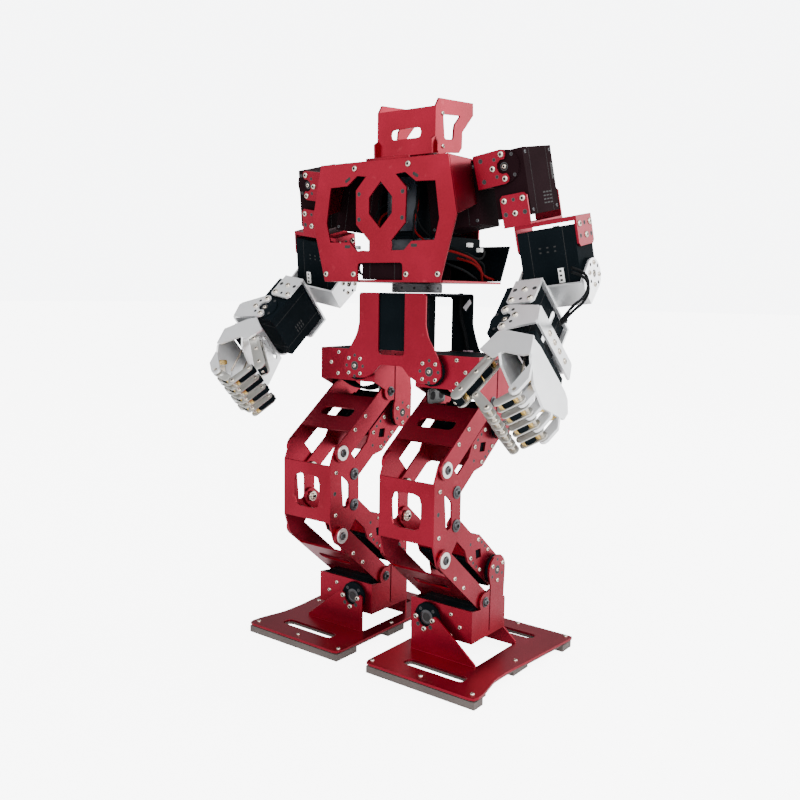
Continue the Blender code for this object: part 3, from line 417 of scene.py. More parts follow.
class Piece:
    """One visible object, gathered from templates in the robot's own millimetres."""

    made = []

    def __init__(self, body, name, *materials, replaces=(), smooth=38):
        self.body, self.name, self.materials = body, name, materials
        self.replaced, self.smooth = replaces, smooth
        self.corners, self.faces, self.kinds = [], [], []
        Piece.made.append(self)

    def add(self, template, matrix=FLAT, kinds=None):
        corners, faces, marks = template
        first = len(self.corners)
        flip = matrix.determinant() < 0
        self.corners += [matrix @ c for c in corners]
        for face in faces:
            order = face[::-1] if flip else face
            self.faces.append([first + i for i in order])
        self.kinds += [kinds[m] for m in marks] if kinds else marks

    def build(self):
        mesh = bpy.data.meshes.new(self.name)
        points = [(c - CENTRE_OFFSET) * MM for c in self.corners]
        mesh.from_pydata(points, [], self.faces)
        for key in self.materials:
            mesh.materials.append(MATERIALS[key])
        mesh.polygons.foreach_set("material_index", self.kinds)
        mesh.polygons.foreach_set("use_smooth", [True] * len(self.faces))
        mesh.set_sharp_from_angle(angle=math.radians(self.smooth))
        item = show(self.name, mesh)
        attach(item, self.body)
        if self.replaced:
            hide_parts(*self.replaced)


def screw_piece(body, name):
    return Piece(body, f"{name}_screws", "nickel", "socket")


def hole_piece(body, name):
    return Piece(body, f"{name}_holes", "steel", "socket")


def tube(body, name, points, radius, material):
    """A cable through these points, as a smooth round curve."""
    curve = bpy.data.curves.new(name, "CURVE")
    curve.dimensions = "3D"
    curve.bevel_depth = radius * MM
    curve.bevel_resolution = 3
    curve.resolution_u = 8
    curve.use_fill_caps = True
    spline = curve.splines.new("BEZIER")
    spline.bezier_points.add(len(points) - 1)
    for knot, point in zip(spline.bezier_points, points):
        knot.co = (Vector(point) - CENTRE_OFFSET) * MM
        knot.handle_left_type = knot.handle_right_type = "AUTO"
    curve.materials.append(MATERIALS[material])
    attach(show(name, curve), body)


def side_name(side):
    return "left" if side > 0 else "right"


# Repeated details.


def screws(piece, template, spots, normal, frame_matrix, seed=0):
    """The same screw at each spot on a face, each turned a different way."""
    for i, spot in enumerate(spots):
        spin = math.radians((seed + i) * 47 % 60)
        piece.add(template, frame_matrix @ lift(spot, normal, spin))


def horn_face(name, x, y, z, out):
    """A hip horn on the pelvis: screws on the circle, holes between them and the centre screw."""
    normal = (0, out, 0)
    heads = screw_piece("pelvis", name)
    spots = [(a, y, b) for a, b in ring(x, z, HORN_PITCH, 4, math.radians(45))]
    screws(heads, SMALL_SCREW, spots, normal, FLAT)
    pits = hole_piece("pelvis", name)
    for a, b in ring(x, z, HORN_PITCH, 4):
        pits.add(SMALL_HOLE, lift((a, y, b), normal))
    pits.add(pit(3.0), lift((x, y, z), normal))
    heads.add(SMALL_SCREW, lift((x, y + out * 0.02, z), normal))


def case_seams(body, name, box, axis, shares, frame_matrix, piece=None):
    """Thin parting lines round a servo case, at these shares of its length along an axis."""
    piece = piece or Piece(body, f"{name}_seams", "socket")
    i = "xyz".index(axis)
    low, high = box[2 * i], box[2 * i + 1]
    (a0, a1), (b0, b1) = ((box[2 * k], box[2 * k + 1]) for k in range(3) if k != i)
    sides = box_outline(a0 - SEAM_PROUD, b0 - SEAM_PROUD, a1 + SEAM_PROUD, b1 + SEAM_PROUD)
    outline = rounded(sides, 0.5, 2)
    for share in shares:
        start = low + (high - low) * share - SEAM_WIDTH / 2
        piece.add(plate(axis, start, start + SEAM_WIDTH, outline, edge=0.02), frame_matrix)


def grille(piece, centre, across, up, normal, columns, rows, pitch, frame_matrix, size):
    """Rows of short vent slots in a servo case."""
    c, a, u, n = (Vector(v) for v in (centre, across, up, normal))
    basis = Matrix((a, u, n)).transposed().to_4x4()
    for i in range(columns):
        for j in range(rows):
            spot = c + a * (i - (columns - 1) / 2) * pitch[0] + u * (j - (rows - 1) / 2) * pitch[1]
            shape = cuboid(-size[0] / 2, size[0] / 2, -size[1] / 2, size[1] / 2, -0.4, 0.05, 0)
            piece.add(shape, frame_matrix @ Matrix.Translation(spot) @ basis)


# Legs.


def leg_pivots():
    return KNEE | {
        "hip_front": KNEE["upper_front"] + THIGH,
        "hip_rear": KNEE["upper_rear"] + THIGH,
        "ankle_front": KNEE["lower_front"] + SHANK,
        "ankle_rear": KNEE["lower_rear"] + SHANK,
    }


def on_faces(piece, template, half, spots, m, kinds=None, facing=1):
    """The template at these (y, z) spots on both faces of a leg part, this far from its middle."""
    for side in (1, -1):
        for spot in spots:
            place = lift((LEG_MIDDLE + side * half, *spot), (side * facing, 0, 0))
            piece.add(template, m @ place, kinds)


def along(end, knee, pairs):
    """Spots at these distances from a link's end pivot, along the link and to its side."""
    ahead = (knee - end).normalized()
    aside = Vector((-ahead.y, ahead.x))
    return [end + ahead * a + aside * b for a, b in pairs]


def dress_foot(side):
    name, m = side_name(side), mirror(side)
    body = f"{name}_foot"
    heads = screw_piece(body, f"{name}_foot")
    plate_spots = [(15.6, -62.5), (96.9, -62.0), (55.9, -61.4), (92.3, 0.6), (99.6, 62.4)]
    plate_spots += [(59.2, 62.4), (16.4, 62.2), (17.0, 0.6)]
    screws(heads, SMALL_SCREW, [(x, y, FOOT_TOP) for x, y in plate_spots], (0, 0, 1), m)
    flap_spots = [(27.2, 32.6), (41.4, 32.2), (34.3, 24.8)]
    pits = hole_piece(body, f"{name}_flap")
    for y, normal in ((FLAP_FRONT, (0, -1, 0)), (FLAP_BACK, (0, 1, 0))):
        screws(heads, SCREW, [(x, y, z) for x, z in flap_spots], normal, m, 3)
        for x, z in ((28.9, 27.2), (39.6, 27.0)):
            pits.add(HOLE, m @ lift((x, y, z), normal))


def dress_roll_servo(name, centre, m):
    """The horn discs and case of a servo that lies along Y, at a hip or an ankle."""
    x, z = centre
    half = SERVO_DEPTH / 2
    rim = Piece(name, f"{name}_horn_rims", "steel", "socket")
    for y, normal in ((-half - 5.0, (0, -1, 0)), (half + 5.5, (0, 1, 0))):
        rim.add(washer(3.1, 5.4, 0.3), m @ lift((x, y, z), normal))
        for a, b in ring(x, z, HORN_PITCH, 4, math.radians(45)):
            rim.add(SMALL_HOLE, m @ lift((a, y, b), normal))
    box = (x - SERVO_NEAR, x + SERVO_FAR, -half, half, z - ROLL_SERVO_THICK,
           z + ROLL_SERVO_THICK)
    case_seams(name, f"{name}_case", box, "y", (0.2, 0.78), m)


def dress_end(name, pivots, end, spots, m):
    """Screws and holes of a hip or ankle bracket, whose faces have screws at these (x, z)."""
    front, rear = pivots[f"{end}_front"], pivots[f"{end}_rear"]
    heads, pits = screw_piece(name, name), hole_piece(name, name)
    for y, normal in ((END_FRONT, (0, -1, 0)), (END_BACK, (0, 1, 0))):
        screws(heads, SMALL_SCREW, [(x, y, z) for x, z in spots], normal, m, 5)
    bolts = Piece(name, f"{name}_pivot_bolts", "steel", "socket")
    on_faces(bolts, washer(2.0, 3.7, 0.4), EAR_HALF, [front], m, (0, 0))
    on_faces(bolts, button(2.7, 1.5, 1.1), EAR_HALF + 0.35, [front], m)
    on_faces(heads, SMALL_SCREW, EAR_HALF, ring(*rear, HORN_PITCH, 3, math.radians(30)), m)
    on_faces(pits, SMALL_HOLE, EAR_HALF, ring(*rear, HORN_PITCH, 3, math.radians(90)), m)
    on_faces(pits, pit(2.9), EAR_HALF, [rear], m)
    on_faces(heads, CASE_SCREW, EAR_HALF, [rear], m)


def dress_front_link(name, knee, m, spots):
    heads = screw_piece(name, name)
    caps = Piece(name, f"{name}_bearings", "washer", "socket")
    for side in (1, -1):
        places = [(LEG_MIDDLE + side * LINK_HALF, *spot) for spot in spots]
        screws(heads, SMALL_SCREW, places, (side, 0, 0), m, 2)
    on_faces(caps, washer(2.9, 5.5, 1.0), LINK_HALF, [knee], m)


def dress_rear_link(body, knee, end, m):
    heads, pits = screw_piece(body, f"{body}_rear"), hole_piece(body, f"{body}_rear")
    corners = [(a, b * sign) for a, b in ((14.0, 8.0), (30.2, 7.4)) for sign in (1, -1)]
    on_faces(heads, SMALL_SCREW, REAR_HALF, along(end, knee, corners), m)
    holes = [(a, 8.2 * sign) for a in (19.0, 24.5) for sign in (1, -1)] + [(36.5, 0.0)]
    on_faces(pits, SMALL_HOLE, REAR_HALF, along(end, knee, holes), m)


def dress_link_servo(body, knee, end, m):
    ahead = knee - end
    tilt = Matrix.Translation((0, *end)) @ Matrix.Rotation(math.atan2(ahead.y, ahead.x), 4, "X")
    box = (LEG_MIDDLE - LINK_SERVO_HALF, LEG_MIDDLE + LINK_SERVO_HALF, -SERVO_NEAR, SERVO_FAR,
           -LINK_SERVO_THICK, LINK_SERVO_THICK)
    case_seams(body, f"{body}_servo", box, "x", (0.2, 0.8), m @ tilt)
    vents = Piece(body, f"{body}_servo_vents", "socket")
    for up in (1, -1):
        grille(vents, (LEG_MIDDLE + 3, 18.0, LINK_SERVO_THICK * up), (0, 1, 0), (1, 0, 0),
               (0, 0, up), 4, 3, (2.6, 3.4), m @ tilt, (1.1, 2.4))
    rims = Piece(body, f"{body}_servo_horn_rims", "steel", "socket")
    dots = ring(0, 0, 8.6, 8, math.radians(15))
    on_faces(rims, pit(0.6), LINK_HORN_HALF, along(end, knee, dots), m)


def dress_hip_inside(name, pivots, m):
    """The grey spacer inside the front link's top end, and the leads that sag under the hip."""
    y, z = pivots["hip_front"]
    spacer = Piece(f"{name}_thigh_front", f"{name}_hip_spacer", "grey")
    outline = rounded(box_outline(y - 9.5, z - 5.0, y + 11.5, z + 6.0), 3.0)
    face = LEG_MIDDLE - LINK_HALF + 2.6
    spacer.add(plate("x", face - 1.0, face, outline), m)
    bolts = Piece(f"{name}_thigh_front", f"{name}_hip_spacer_bolts", "steel", "socket")
    for shift in (-4.0, 6.5):
        bolts.add(pit(3.0), m @ lift((face, y + shift, z + 0.6), (1, 0, 0)))
    for i in range(4):
        back = -7.0 + 3.2 * i
        run = [(25, back, 194.0), (36, back - 1.5, 190.0 - i * 0.7), (50, back, 189.4 - i * 0.6),
               (64, back + 1.5, 194.0)]
        points = [m @ Vector(point) for point in run]
        tube(f"{name}_hip", f"{name}_hip_lead_{i + 1}", points, 0.95, "cable")


def dress_knee(name, pivots, m):
    body = f"{name}_knee"
    heads, pits = screw_piece(body, body), hole_piece(body, body)
    bolts = Piece(body, f"{body}_bolts", "steel", "socket")
    fronts, rears = ([pivots[f"{level}_{end}"] for level in ("upper", "lower")]
                     for end in ("front", "rear"))
    on_faces(heads, SMALL_SCREW, KNEE_HALF, [(-59.4, 134.0), (-59.8, 103.5)], m)
    on_faces(pits, HOLE, KNEE_HALF, [(-60.5, 119.0)], m)
    on_faces(bolts, washer(1.4, 4.4, 0.7), KNEE_HALF, rears, m, (0, 0))
    on_faces(bolts, button(2.9, 1.9, 1.3), KNEE_HALF, rears, m)
    on_faces(bolts, button(2.75, 0.9, 1.3), LINK_HALF + 1.2, fronts, m)
    rollers = Piece(body, f"{body}_rollers", "nickel", "socket")
    on_faces(rollers, drum(3.9, 1.6, 0.3), ROLLER_HALF, rears, m, facing=-1)
    on_faces(rollers, button(2.6, 1.6, 1.2), ROLLER_HALF - 1.6, rears, m, facing=-1)


def dress_leg(side):
    name, m = side_name(side), mirror(side)
    pivots = leg_pivots()
    dress_foot(side)
    dress_roll_servo(f"{name}_ankle", ANKLE_ROLL, m)
    dress_roll_servo(f"{name}_hip", HIP_ROLL, m)
    dress_end(f"{name}_ankle", pivots, "ankle", ANKLE_SCREWS, m)
    dress_end(f"{name}_hip", pivots, "hip", HIP_SCREWS, m)
    for part, end, level, link, sign in (
        ("thigh", "hip", "upper", THIGH, 1), ("shank", "ankle", "lower", SHANK, -1)
    ):
        front, rear, far = pivots[f"{level}_front"], pivots[f"{level}_rear"], pivots[f"{end}_rear"]
        across = Vector((-link.y, link.x)).normalized() * sign
        spots = [front + link * share + across * 4.0 for share in (0.30, 0.52)]
        dress_front_link(f"{name}_{part}_front", front, m, spots)
        dress_rear_link(f"{name}_{part}", rear, far, m)
        dress_link_servo(f"{name}_{part}", rear, far, m)
    dress_knee(name, pivots, m)
    dress_hip_inside(name, pivots, m)


# Pelvis, chest and head.


def dress_pelvis():
    x, z = HIP_ROLL
    for side in (1, -1):
        for end, y, out in (("front", PELVIS_FRONT, -1), ("rear", PELVIS_BACK, 1)):
            horn_face(f"{side_name(side)}_hip_horn_{end}", side * x, y, z, out)
    heads = screw_piece("pelvis", "pelvis")
    rear = [(s * 24.0, PELVIS_BACK, z) for s in (1, -1) for z in (254.5, 236.0)]
    screws(heads, SMALL_SCREW, rear, (0, 1, 0), FLAT, 4)
    box = (-12.0, 12.0, -25.1, WAIST_DRIVE_BACK, 219.6, 259.0)
    case_seams("pelvis", "pelvis_drive", box, "y", (0.3, 0.75), FLAT)
    tag = Piece("pelvis", "pelvis_tag", "tag")
    outline = [(30.2, 256.4), (24.5, 250.3), (27.0, 247.6), (31.6, 253.6)]
    tag.add(plate("y", 26.6, 27.0, outline, edge=0.05))
    plug = Piece("pelvis", "pelvis_lead_connector", "mauve")
    plug.add(cuboid(27.6, 34.6, 23.0, 26.6, 216.6, 219.2, 0.4))


def waist_lead():
    """The lead that drops from the chest into the pelvis, beside the turntable."""
    run = [(23.7, 25.0, 260.6), (24.2, 25.0, 243.6), (27.5, 25.0, 233.2), (31.0, 25.0, 219.0)]
    for i, shift in enumerate((-1.0, 1.0)):
        points = [(x, y + shift, z) for x, y, z in run]
        tube("pelvis", f"waist_lead_{i + 1}", points, 0.9, "cable")


def dress_chest():
    heads = screw_piece("chest", "chest")
    front = [(23.0, 344.5), (48.6, 272.6), (22.9, 272.5)]
    screws(heads, SCREW, [(s * x, CHEST_FRONT, z) for x, z in front for s in (1, -1)], (0, -1, 0),
           FLAT)
    back = [(24.0, 343.0), (24.0, 308.0), (24.0, 273.0)]
    screws(heads, SCREW, [(s * x, CHEST_BACK, z) for x, z in back for s in (1, -1)], (0, 1, 0),
           FLAT, 5)
    top = [(44.0, -30.0), (44.0, 27.0), (15.0, -30.0), (15.0, 27.0)]
    screws(heads, SMALL_SCREW, [(s * x, y, CHEST_TOP) for x, y in top for s in (1, -1)], (0, 0, 1),
           FLAT, 2)
    pits = hole_piece("chest", "chest")
    for x, z in ((18.8, 327.0), (18.7, 309.8)):
        for s in (1, -1):
            pits.add(HOLE, lift((s * x, CHEST_FRONT, z), (0, -1, 0)))
    for x, z, tilt in ((29.2, 337.1, -30), (28.9, 291.5, 0)):
        for s in (1, -1):
            outline = slot(-2.6, -1.1, 2.6, 1.1)
            shape = plate("z", -0.3, 0.04, outline, edge=0.02)
            spin = math.radians(tilt * s)
            pits.add(shape, lift((s * x, CHEST_FRONT, z), (0, -1, 0), spin), (1,))
    lip = Piece("chest", "chest_top_lip", "red")
    lip.add(cuboid(-15.6, 21.0, -38.0, -36.6, CHEST_TOP - 0.2, CHEST_TOP + 2.2, 0.3))


def dress_waist_disc():
    """The ring round the turntable, with holes in its edge."""
    rim = Piece("chest", "waist_disc", "steel", "socket")
    low, high, inner = DISC_MIDDLE - 3.3, DISC_MIDDLE + 3.2, DISC_RADIUS - 0.4
    profile = [(inner, low), (DISC_RADIUS, low + 0.3), (DISC_RADIUS, high - 0.3), (inner, high)]
    rim.add(lathe(profile, 64), Matrix.Translation((0, TURNTABLE_Y, 0)))
    for x, y in ring(0, 0, 1, 12):
        spot = (DISC_RADIUS * x, TURNTABLE_Y + DISC_RADIUS * y, DISC_MIDDLE)
        rim.add(SMALL_HOLE, lift(spot, (x, y, 0)))


def dress_controller():
    """The controller case, two boards with their parts, and the white plugs."""
    unit = Piece("chest", "controller_case", "black", smooth=30)
    unit.add(cuboid(-12.8, 12.8, -15.6, 10.0, 300.0, 346.6, 0.9))
    card = Piece("chest", "controller_board", "board", "pin_gold")
    card.add(cuboid(-12.4, 12.4, -17.1, -15.8, 303.0, 340.0, 0.1))
    card.add(cuboid(-31.0, 31.0, -13.5, -12.2, 284.5, 298.0, 0.1))
    parts = Piece("chest", "controller_chips", "steel")
    parts.add(cuboid(-9.0, -1.5, -18.2, -17.1, 322.0, 329.5, 0.1))
    parts.add(cuboid(2.0, 7.0, -18.0, -17.1, 331.0, 335.0, 0.1))
    for i in range(6):
        parts.add(cuboid(-8.0 + 2.6 * i, -6.6 + 2.6 * i, -17.8, -17.1, 308.0, 309.4, 0.05))
    plug = Piece("chest", "controller_plugs", "white")
    plug.add(cuboid(-1.0, 3.2, -19.6, -17.0, 315.5, 318.5, 0.3))
    plug.add(cuboid(-26.0, -20.0, -15.6, -13.4, 289.0, 292.0, 0.3))
    plug.add(cuboid(22.0, 27.0, -15.6, -13.4, 293.5, 296.0, 0.3))
    for side in (1, -1):
        for spot in ((49.5, -5.0, 293.0), (52.0, 4.0, 290.0)):
            shape = cuboid(-1.8, 1.8, -1.6, 1.6, -1.4, 1.4, 0.3)
            plug.add(shape, mirror(side) @ Matrix.Translation(spot))


def dress_chest_servos():
    drive = Piece("chest", "waist_servo_cover", "brown", smooth=30)
    drive.add(cuboid(*WAIST_SERVO, 0.8))
    case_seams("chest", "waist_servo", WAIST_SERVO, "x", (0.2, 0.8), FLAT)
    seams = Piece("chest", "pitch_servo_seams", "socket")
    heads = Piece("chest", "pitch_servo_screws", "steel", "socket")
    for side in (1, -1):
        chest = shoulder_frames(side)["chest"]
        case_seams("chest", "pitch_servo", PITCH_CASE, "x", (0.22, 0.78), chest, seams)
        spots = [(u, PITCH_CASE[2], w) for u in (-63.5, -28.5) for w in (-31.8, 3.5)]
        screws(heads, CASE_SCREW, spots, (0, -1, 0), chest)


def dress_chest_leads():
    for tint, key in (("red", "cable_red"), ("black", "cable")):
        for i, run in enumerate(CHEST_LEADS[tint]):
            tube("chest", f"chest_lead_{tint}_{i + 1}", run, 0.75, key)
        for i, run in enumerate(SIDE_LEADS[tint]):
            for side in (1, -1):
                points = [(side * x, y, z) for x, y, z in run]
                tube("chest", f"{side_name(side)}_{tint}_side_lead_{i + 1}", points, 0.85, key)


def dress_head():
    heads = screw_piece("head", "head")
    for side in (1, -1):
        normal = (side, 0, 0)
        for y, z in ((-5.5, 382.2), (-4.6, 360.5)):
            heads.add(SMALL_SCREW, lift((side * 25.2, y, z), normal))
    collar = Piece("head", "head_collar", "steel", "socket")
    collar.add(washer(3.0, 8.4, 0.7), lift((0, TURNTABLE_Y, HEAD_FLOOR), (0, 0, 1)))
    screws(heads, SMALL_SCREW, [(x, y, HEAD_FLOOR) for x, y in ring(0, TURNTABLE_Y, 5.9, 4)], (0, 0, 1),
           Matrix.Translation((0, 0, 0.7)))
    heads.add(SMALL_SCREW, lift((0, TURNTABLE_Y, HEAD_FLOOR), (0, 0, 1)))


# Arms.


def shoulder_frames(side):
    """Each arm joint's frame in the robot's: u outward, v back along the horn, w up the limb."""
    pitch_turn, roll_turn, bend, wrist_turn = (
        math.radians(table[side]) for table in (ARM_PITCH, ARM_ROLL, ELBOW_BEND, WRIST_TURN)
    )
    chest = Matrix.Translation(SHOULDER) @ Matrix.Rotation(-math.radians(SHOULDER_CANT), 4, "Y")
    pitch = chest @ Matrix.Rotation(-pitch_turn, 4, "X")
    reach = pitch @ Matrix.Translation((0, -SHOULDER_REACH, 0))
    roll = reach @ Matrix.Rotation(-roll_turn, 4, "Y")
    elbow = roll @ Matrix.Translation((0, *ELBOW_AXIS)) @ Matrix.Rotation(-bend, 4, "X")
    across = FOREARM_MIDDLE - side * WRIST_OFFSET
    wrist = elbow @ Matrix.Translation((across, FOREARM_DROP, -FOREARM_LENGTH))
    hand = wrist @ Matrix.Rotation(-wrist_turn, 4, "Y")
    frames = {"chest": chest, "pitch": pitch, "reach": reach, "roll": roll, "elbow": elbow}
    frames |= {"wrist": wrist, "hand": hand}
    return {key: mirror(side) @ matrix for key, matrix in frames.items()}


def arm_case(side, low, high):
    """The box of a servo that lies along an arm bracket, between these heights."""
    middle, back = ARM_CASE_SHIFT * side, BRACKET_DEPTH - 2 * SHEET - GAP
    return (middle - ARM_CASE_HALF, middle + ARM_CASE_HALF, ARM_CASE_FRONT, back, low, high)


def tab_details(body, name, matrix, far_holes=(-6.6, 6.6)):
    """A horn tab's three screws, its two holes and the horn's centre screw, on both faces."""
    heads = screw_piece(body, name)
    pits = hole_piece(body, name)
    for v, normal in ((0.0, (0, -1, 0)), (BRACKET_DEPTH, (0, 1, 0))):
        spots = [(0.0, v, HORN_PITCH), (0.0, v, -HORN_PITCH), (-HORN_PITCH, v, 0.0)]
        screws(heads, SCREW, spots, normal, matrix, 4)
        for w in (-5.4, 5.4):
            pits.add(SMALL_HOLE, matrix @ lift((-5.4, v, w), normal))
        for w in far_holes:
            pits.add(HOLE, matrix @ lift((-15.2, v, w), normal))
        inner = 1.8 if v == 0.0 else BRACKET_DEPTH - 1.8
        pits.add(pit(2.4), matrix @ lift((0.0, inner, 0.0), normal))
        heads.add(SMALL_SCREW, matrix @ lift((0.0, inner, 0.0), normal))
        for w in (-6.4, 6.4):
            pits.add(pit(0.8), matrix @ lift((6.4, inner, w), normal))


def mount_details(body, name, middle, two_row, pitch, matrix, front=0.0):
    """A square tab's pattern: two screws in one row, and hole, screw, hole in the other."""
    heads = screw_piece(body, name)
    pits = hole_piece(body, name)
    one_row = two_row + pitch
    for v, normal in ((front, (0, -1, 0)), (front + BRACKET_DEPTH, (0, 1, 0))):
        spots = [(middle + 6.6, v, two_row), (middle - 6.6, v, two_row), (middle, v, one_row)]
        screws(heads, SCREW, spots, normal, matrix, 1)
        for u in (-6.9, 6.9):
            pits.add(HOLE, matrix @ lift((middle + u, v, one_row), normal))
        pits.add(SMALL_HOLE, matrix @ lift((middle, v, two_row), normal))


def dress_upper_arm(side, frames):
    name = side_name(side)
    body = f"{name}_upper_arm"
    roll = frames["roll"]
    tab_details(f"{name}_shoulder", f"{name}_shoulder", frames["reach"])
    middle = HORN_OFFSET * side
    mount_details(body, f"{name}_upper_tab", middle, -BRACKET_ROW, -TAB_PITCH, roll)
    dress_shoulder_servo(name, body, arm_case(side, -SERVO_FAR, SERVO_NEAR), roll)
    dress_elbow_servo(name, body, ELBOW_MIDDLE[side], roll)


def dress_shoulder_servo(name, body, box, roll):
    case_seams(body, f"{name}_shoulder_servo", box, "y", (0.2, 0.8), roll)
    vents = Piece(body, f"{name}_shoulder_servo_vents", "socket")
    for u, out in ((box[1], 1), (box[0], -1)):
        grille(vents, (u, 28.8, -23.3), (0, 1, 0), (0, 0, 1), (out, 0, 0), 3, 4, (4.4, 2.3), roll,
               (3.4, 0.9))
        port = cuboid(-0.3, 0.06, -1.9, 1.9, -5.4, 5.4, 0)
        vents.add(port, roll @ Matrix.Translation((u, 40.4, -6.8)) @ Matrix.Diagonal((out, 1, 1, 1)))
    heads = Piece(body, f"{name}_shoulder_case_screws", "steel", "socket")
    for u, out in ((box[1], 1), (box[0], -1)):
        for v, w in ((6.0, -29.5), (6.0, 6.5), (39.5, -29.5), (39.5, 6.5)):
            heads.add(CASE_SCREW, roll @ lift((u, v, w), (out, 0, 0)))


def dress_elbow_servo(name, body, centre, roll):
    """The ears that hold the elbow servo, and its seams, vents, connector and leads."""
    under = -BRACKET_ROW - 15.6 - SHEET
    half = SERVO_DEPTH / 2 + GAP + SHEET
    v0 = ELBOW_AXIS[0]
    ear = Piece(body, f"{name}_ear_screws", "nickel", "socket")
    pits = hole_piece(body, f"{name}_ear")
    for u, out in ((centre + half, 1), (centre - half, -1)):
        normal = (out, 0, 0)
        for v, w in ((-7.6, -4.6), (7.6, -4.6), (0.4, -12.2)):
            ear.add(SCREW, roll @ lift((u, v0 + v, under + w), normal))
        for v, w in ((0.0, -4.6), (-7.6, -12.2), (8.0, -12.2)):
            pits.add(HOLE, roll @ lift((u, v0 + v, under + w), normal))

    box = (centre - 20.0, centre + 20.0, v0 - 12.0, v0 + 12.0, ELBOW_AXIS[1] - SERVO_NEAR, under - 4.8)
    case_seams(body, f"{name}_elbow_servo", box, "x", (0.2, 0.8), roll)
    vents = Piece(body, f"{name}_elbow_servo_vents", "socket")
    grille(vents, (centre, box[2], -56.0), (1, 0, 0), (0, 0, 1), (0, -1, 0), 3, 2, (5.2, 2.8), roll,
           (1.5, 0.9))
    comb = Piece(body, f"{name}_elbow_connector", "white", "socket")
    for v, out in ((box[2], -1), (box[3], 1)):
        low, high = sorted((v, v + out * 1.0))
        u = centre + 7.3
        comb.add(cuboid(u - 1.9, u + 1.9, low, high, -77.6, -68.4, 0.2), roll)
        for i in range(3):
            w = -75.9 + 2.9 * i
            a, b = sorted((v + out * 0.9, v + out * 1.06))
            comb.add(cuboid(u - 1.0, u + 0.8, a, b, w - 0.7, w + 0.7, 0), roll, (1,))
    lead = [(centre + 12, box[3] + 1.0, -77.5), (centre + 13, box[3] + 8, -80),
            (centre + 8, box[3] + 13, -68), (centre - 2, box[3] + 11, -52), (centre - 6, box[3] + 4, -43)]
    for i, shift in enumerate((-1.6, 0.0, 1.6)):
        run = [roll @ Vector((u + shift, v, w)) for u, v, w in lead]
        tube(body, f"{name}_elbow_lead_{i + 1}", run, 0.75, "cable")


def dress_forearm(side, frames):
    name = side_name(side)
    body = f"{name}_forearm"
    elbow, wrist = frames["elbow"], frames["wrist"]
    centre = ELBOW_MIDDLE[side]
    out_face = SERVO_DEPTH / 2 + 2.0 + GAP + SHEET
    heads = screw_piece(body, f"{name}_lobe")
    pits = hole_piece(body, f"{name}_lobe")
    for u, out in ((centre + out_face, 1), (centre - out_face, -1)):
        for v, w in ring(0, 0, 7.0, 4, math.radians(45)):
            heads.add(SMALL_SCREW, elbow @ lift((u, v, w), (out, 0, 0)))
        for v, w in ring(0, 0, 7.4, 4):
            pits.add(SMALL_HOLE, elbow @ lift((u, v, w), (out, 0, 0)))
        heads.add(SMALL_SCREW, elbow @ lift((u - out * 1.2, 0, 0), (out, 0, 0)))
    row = FOREARM_ROW - FOREARM_LENGTH
    mount_details(body, f"{name}_forearm_tab", FOREARM_MIDDLE, row, TAB_PITCH, elbow, FOREARM_DROP)
    far = FOREARM_LENGTH - 17.0 - 2 * SHEET
    box = arm_case(side, -SERVO_NEAR, far)
    case_seams(body, f"{name}_wrist_servo", box, "y", (0.2, 0.8), wrist)
    if side > 0:
        strip = Piece(body, f"{name}_wrist_strip", "silver")
        outline = slot(24.4, -6.0, 28.2, far - 2.0)
        strip.add(plate("x", box[1], box[1] + 0.7, outline, edge=0.15), wrist)
    vents = Piece(body, f"{name}_wrist_servo_vents", "socket")
    for u, out in ((box[1], 1), (box[0], -1)):
        grille(vents, (u, 29.5, 10.0), (0, 1, 0), (0, 0, 1), (out, 0, 0), 2, 4, (3.8, 2.4), wrist,
               (2.6, 0.9))
    if side > 0:
        dress_forearm_leads(name, body, centre, elbow, wrist)


def dress_forearm_leads(name, body, centre, elbow, wrist):
    """Three leads behind the wrist servo, and two that loop from the elbow to its far end."""
    back = BRACKET_DEPTH + FOREARM_DROP
    for i, spread in enumerate((-1.5, 0.0, 1.5)):
        middle = FOREARM_MIDDLE + spread
        route = [(middle, back - 6.0, -38.0), (middle - 11, back, -30.0),
                 (middle - 12, back - 3.0, -20.0), (centre + spread - 6, 14.0, -14.5)]
        run = [elbow @ Vector(point) for point in route]
        tube(body, f"{name}_wrist_lead_{i + 1}", run, 0.75, "cable")
    for i, shift in enumerate((0.0, 1.9)):
        run = [elbow @ Vector((u, v + shift, w - shift)) for u, v, w in FOREARM_LOOP]
        run.append(wrist @ Vector((14.4, 42.0, 36.0 + shift)))
        tube(body, f"{name}_forearm_loop_{i + 1}", run, 0.9, "cable")


# Hands.


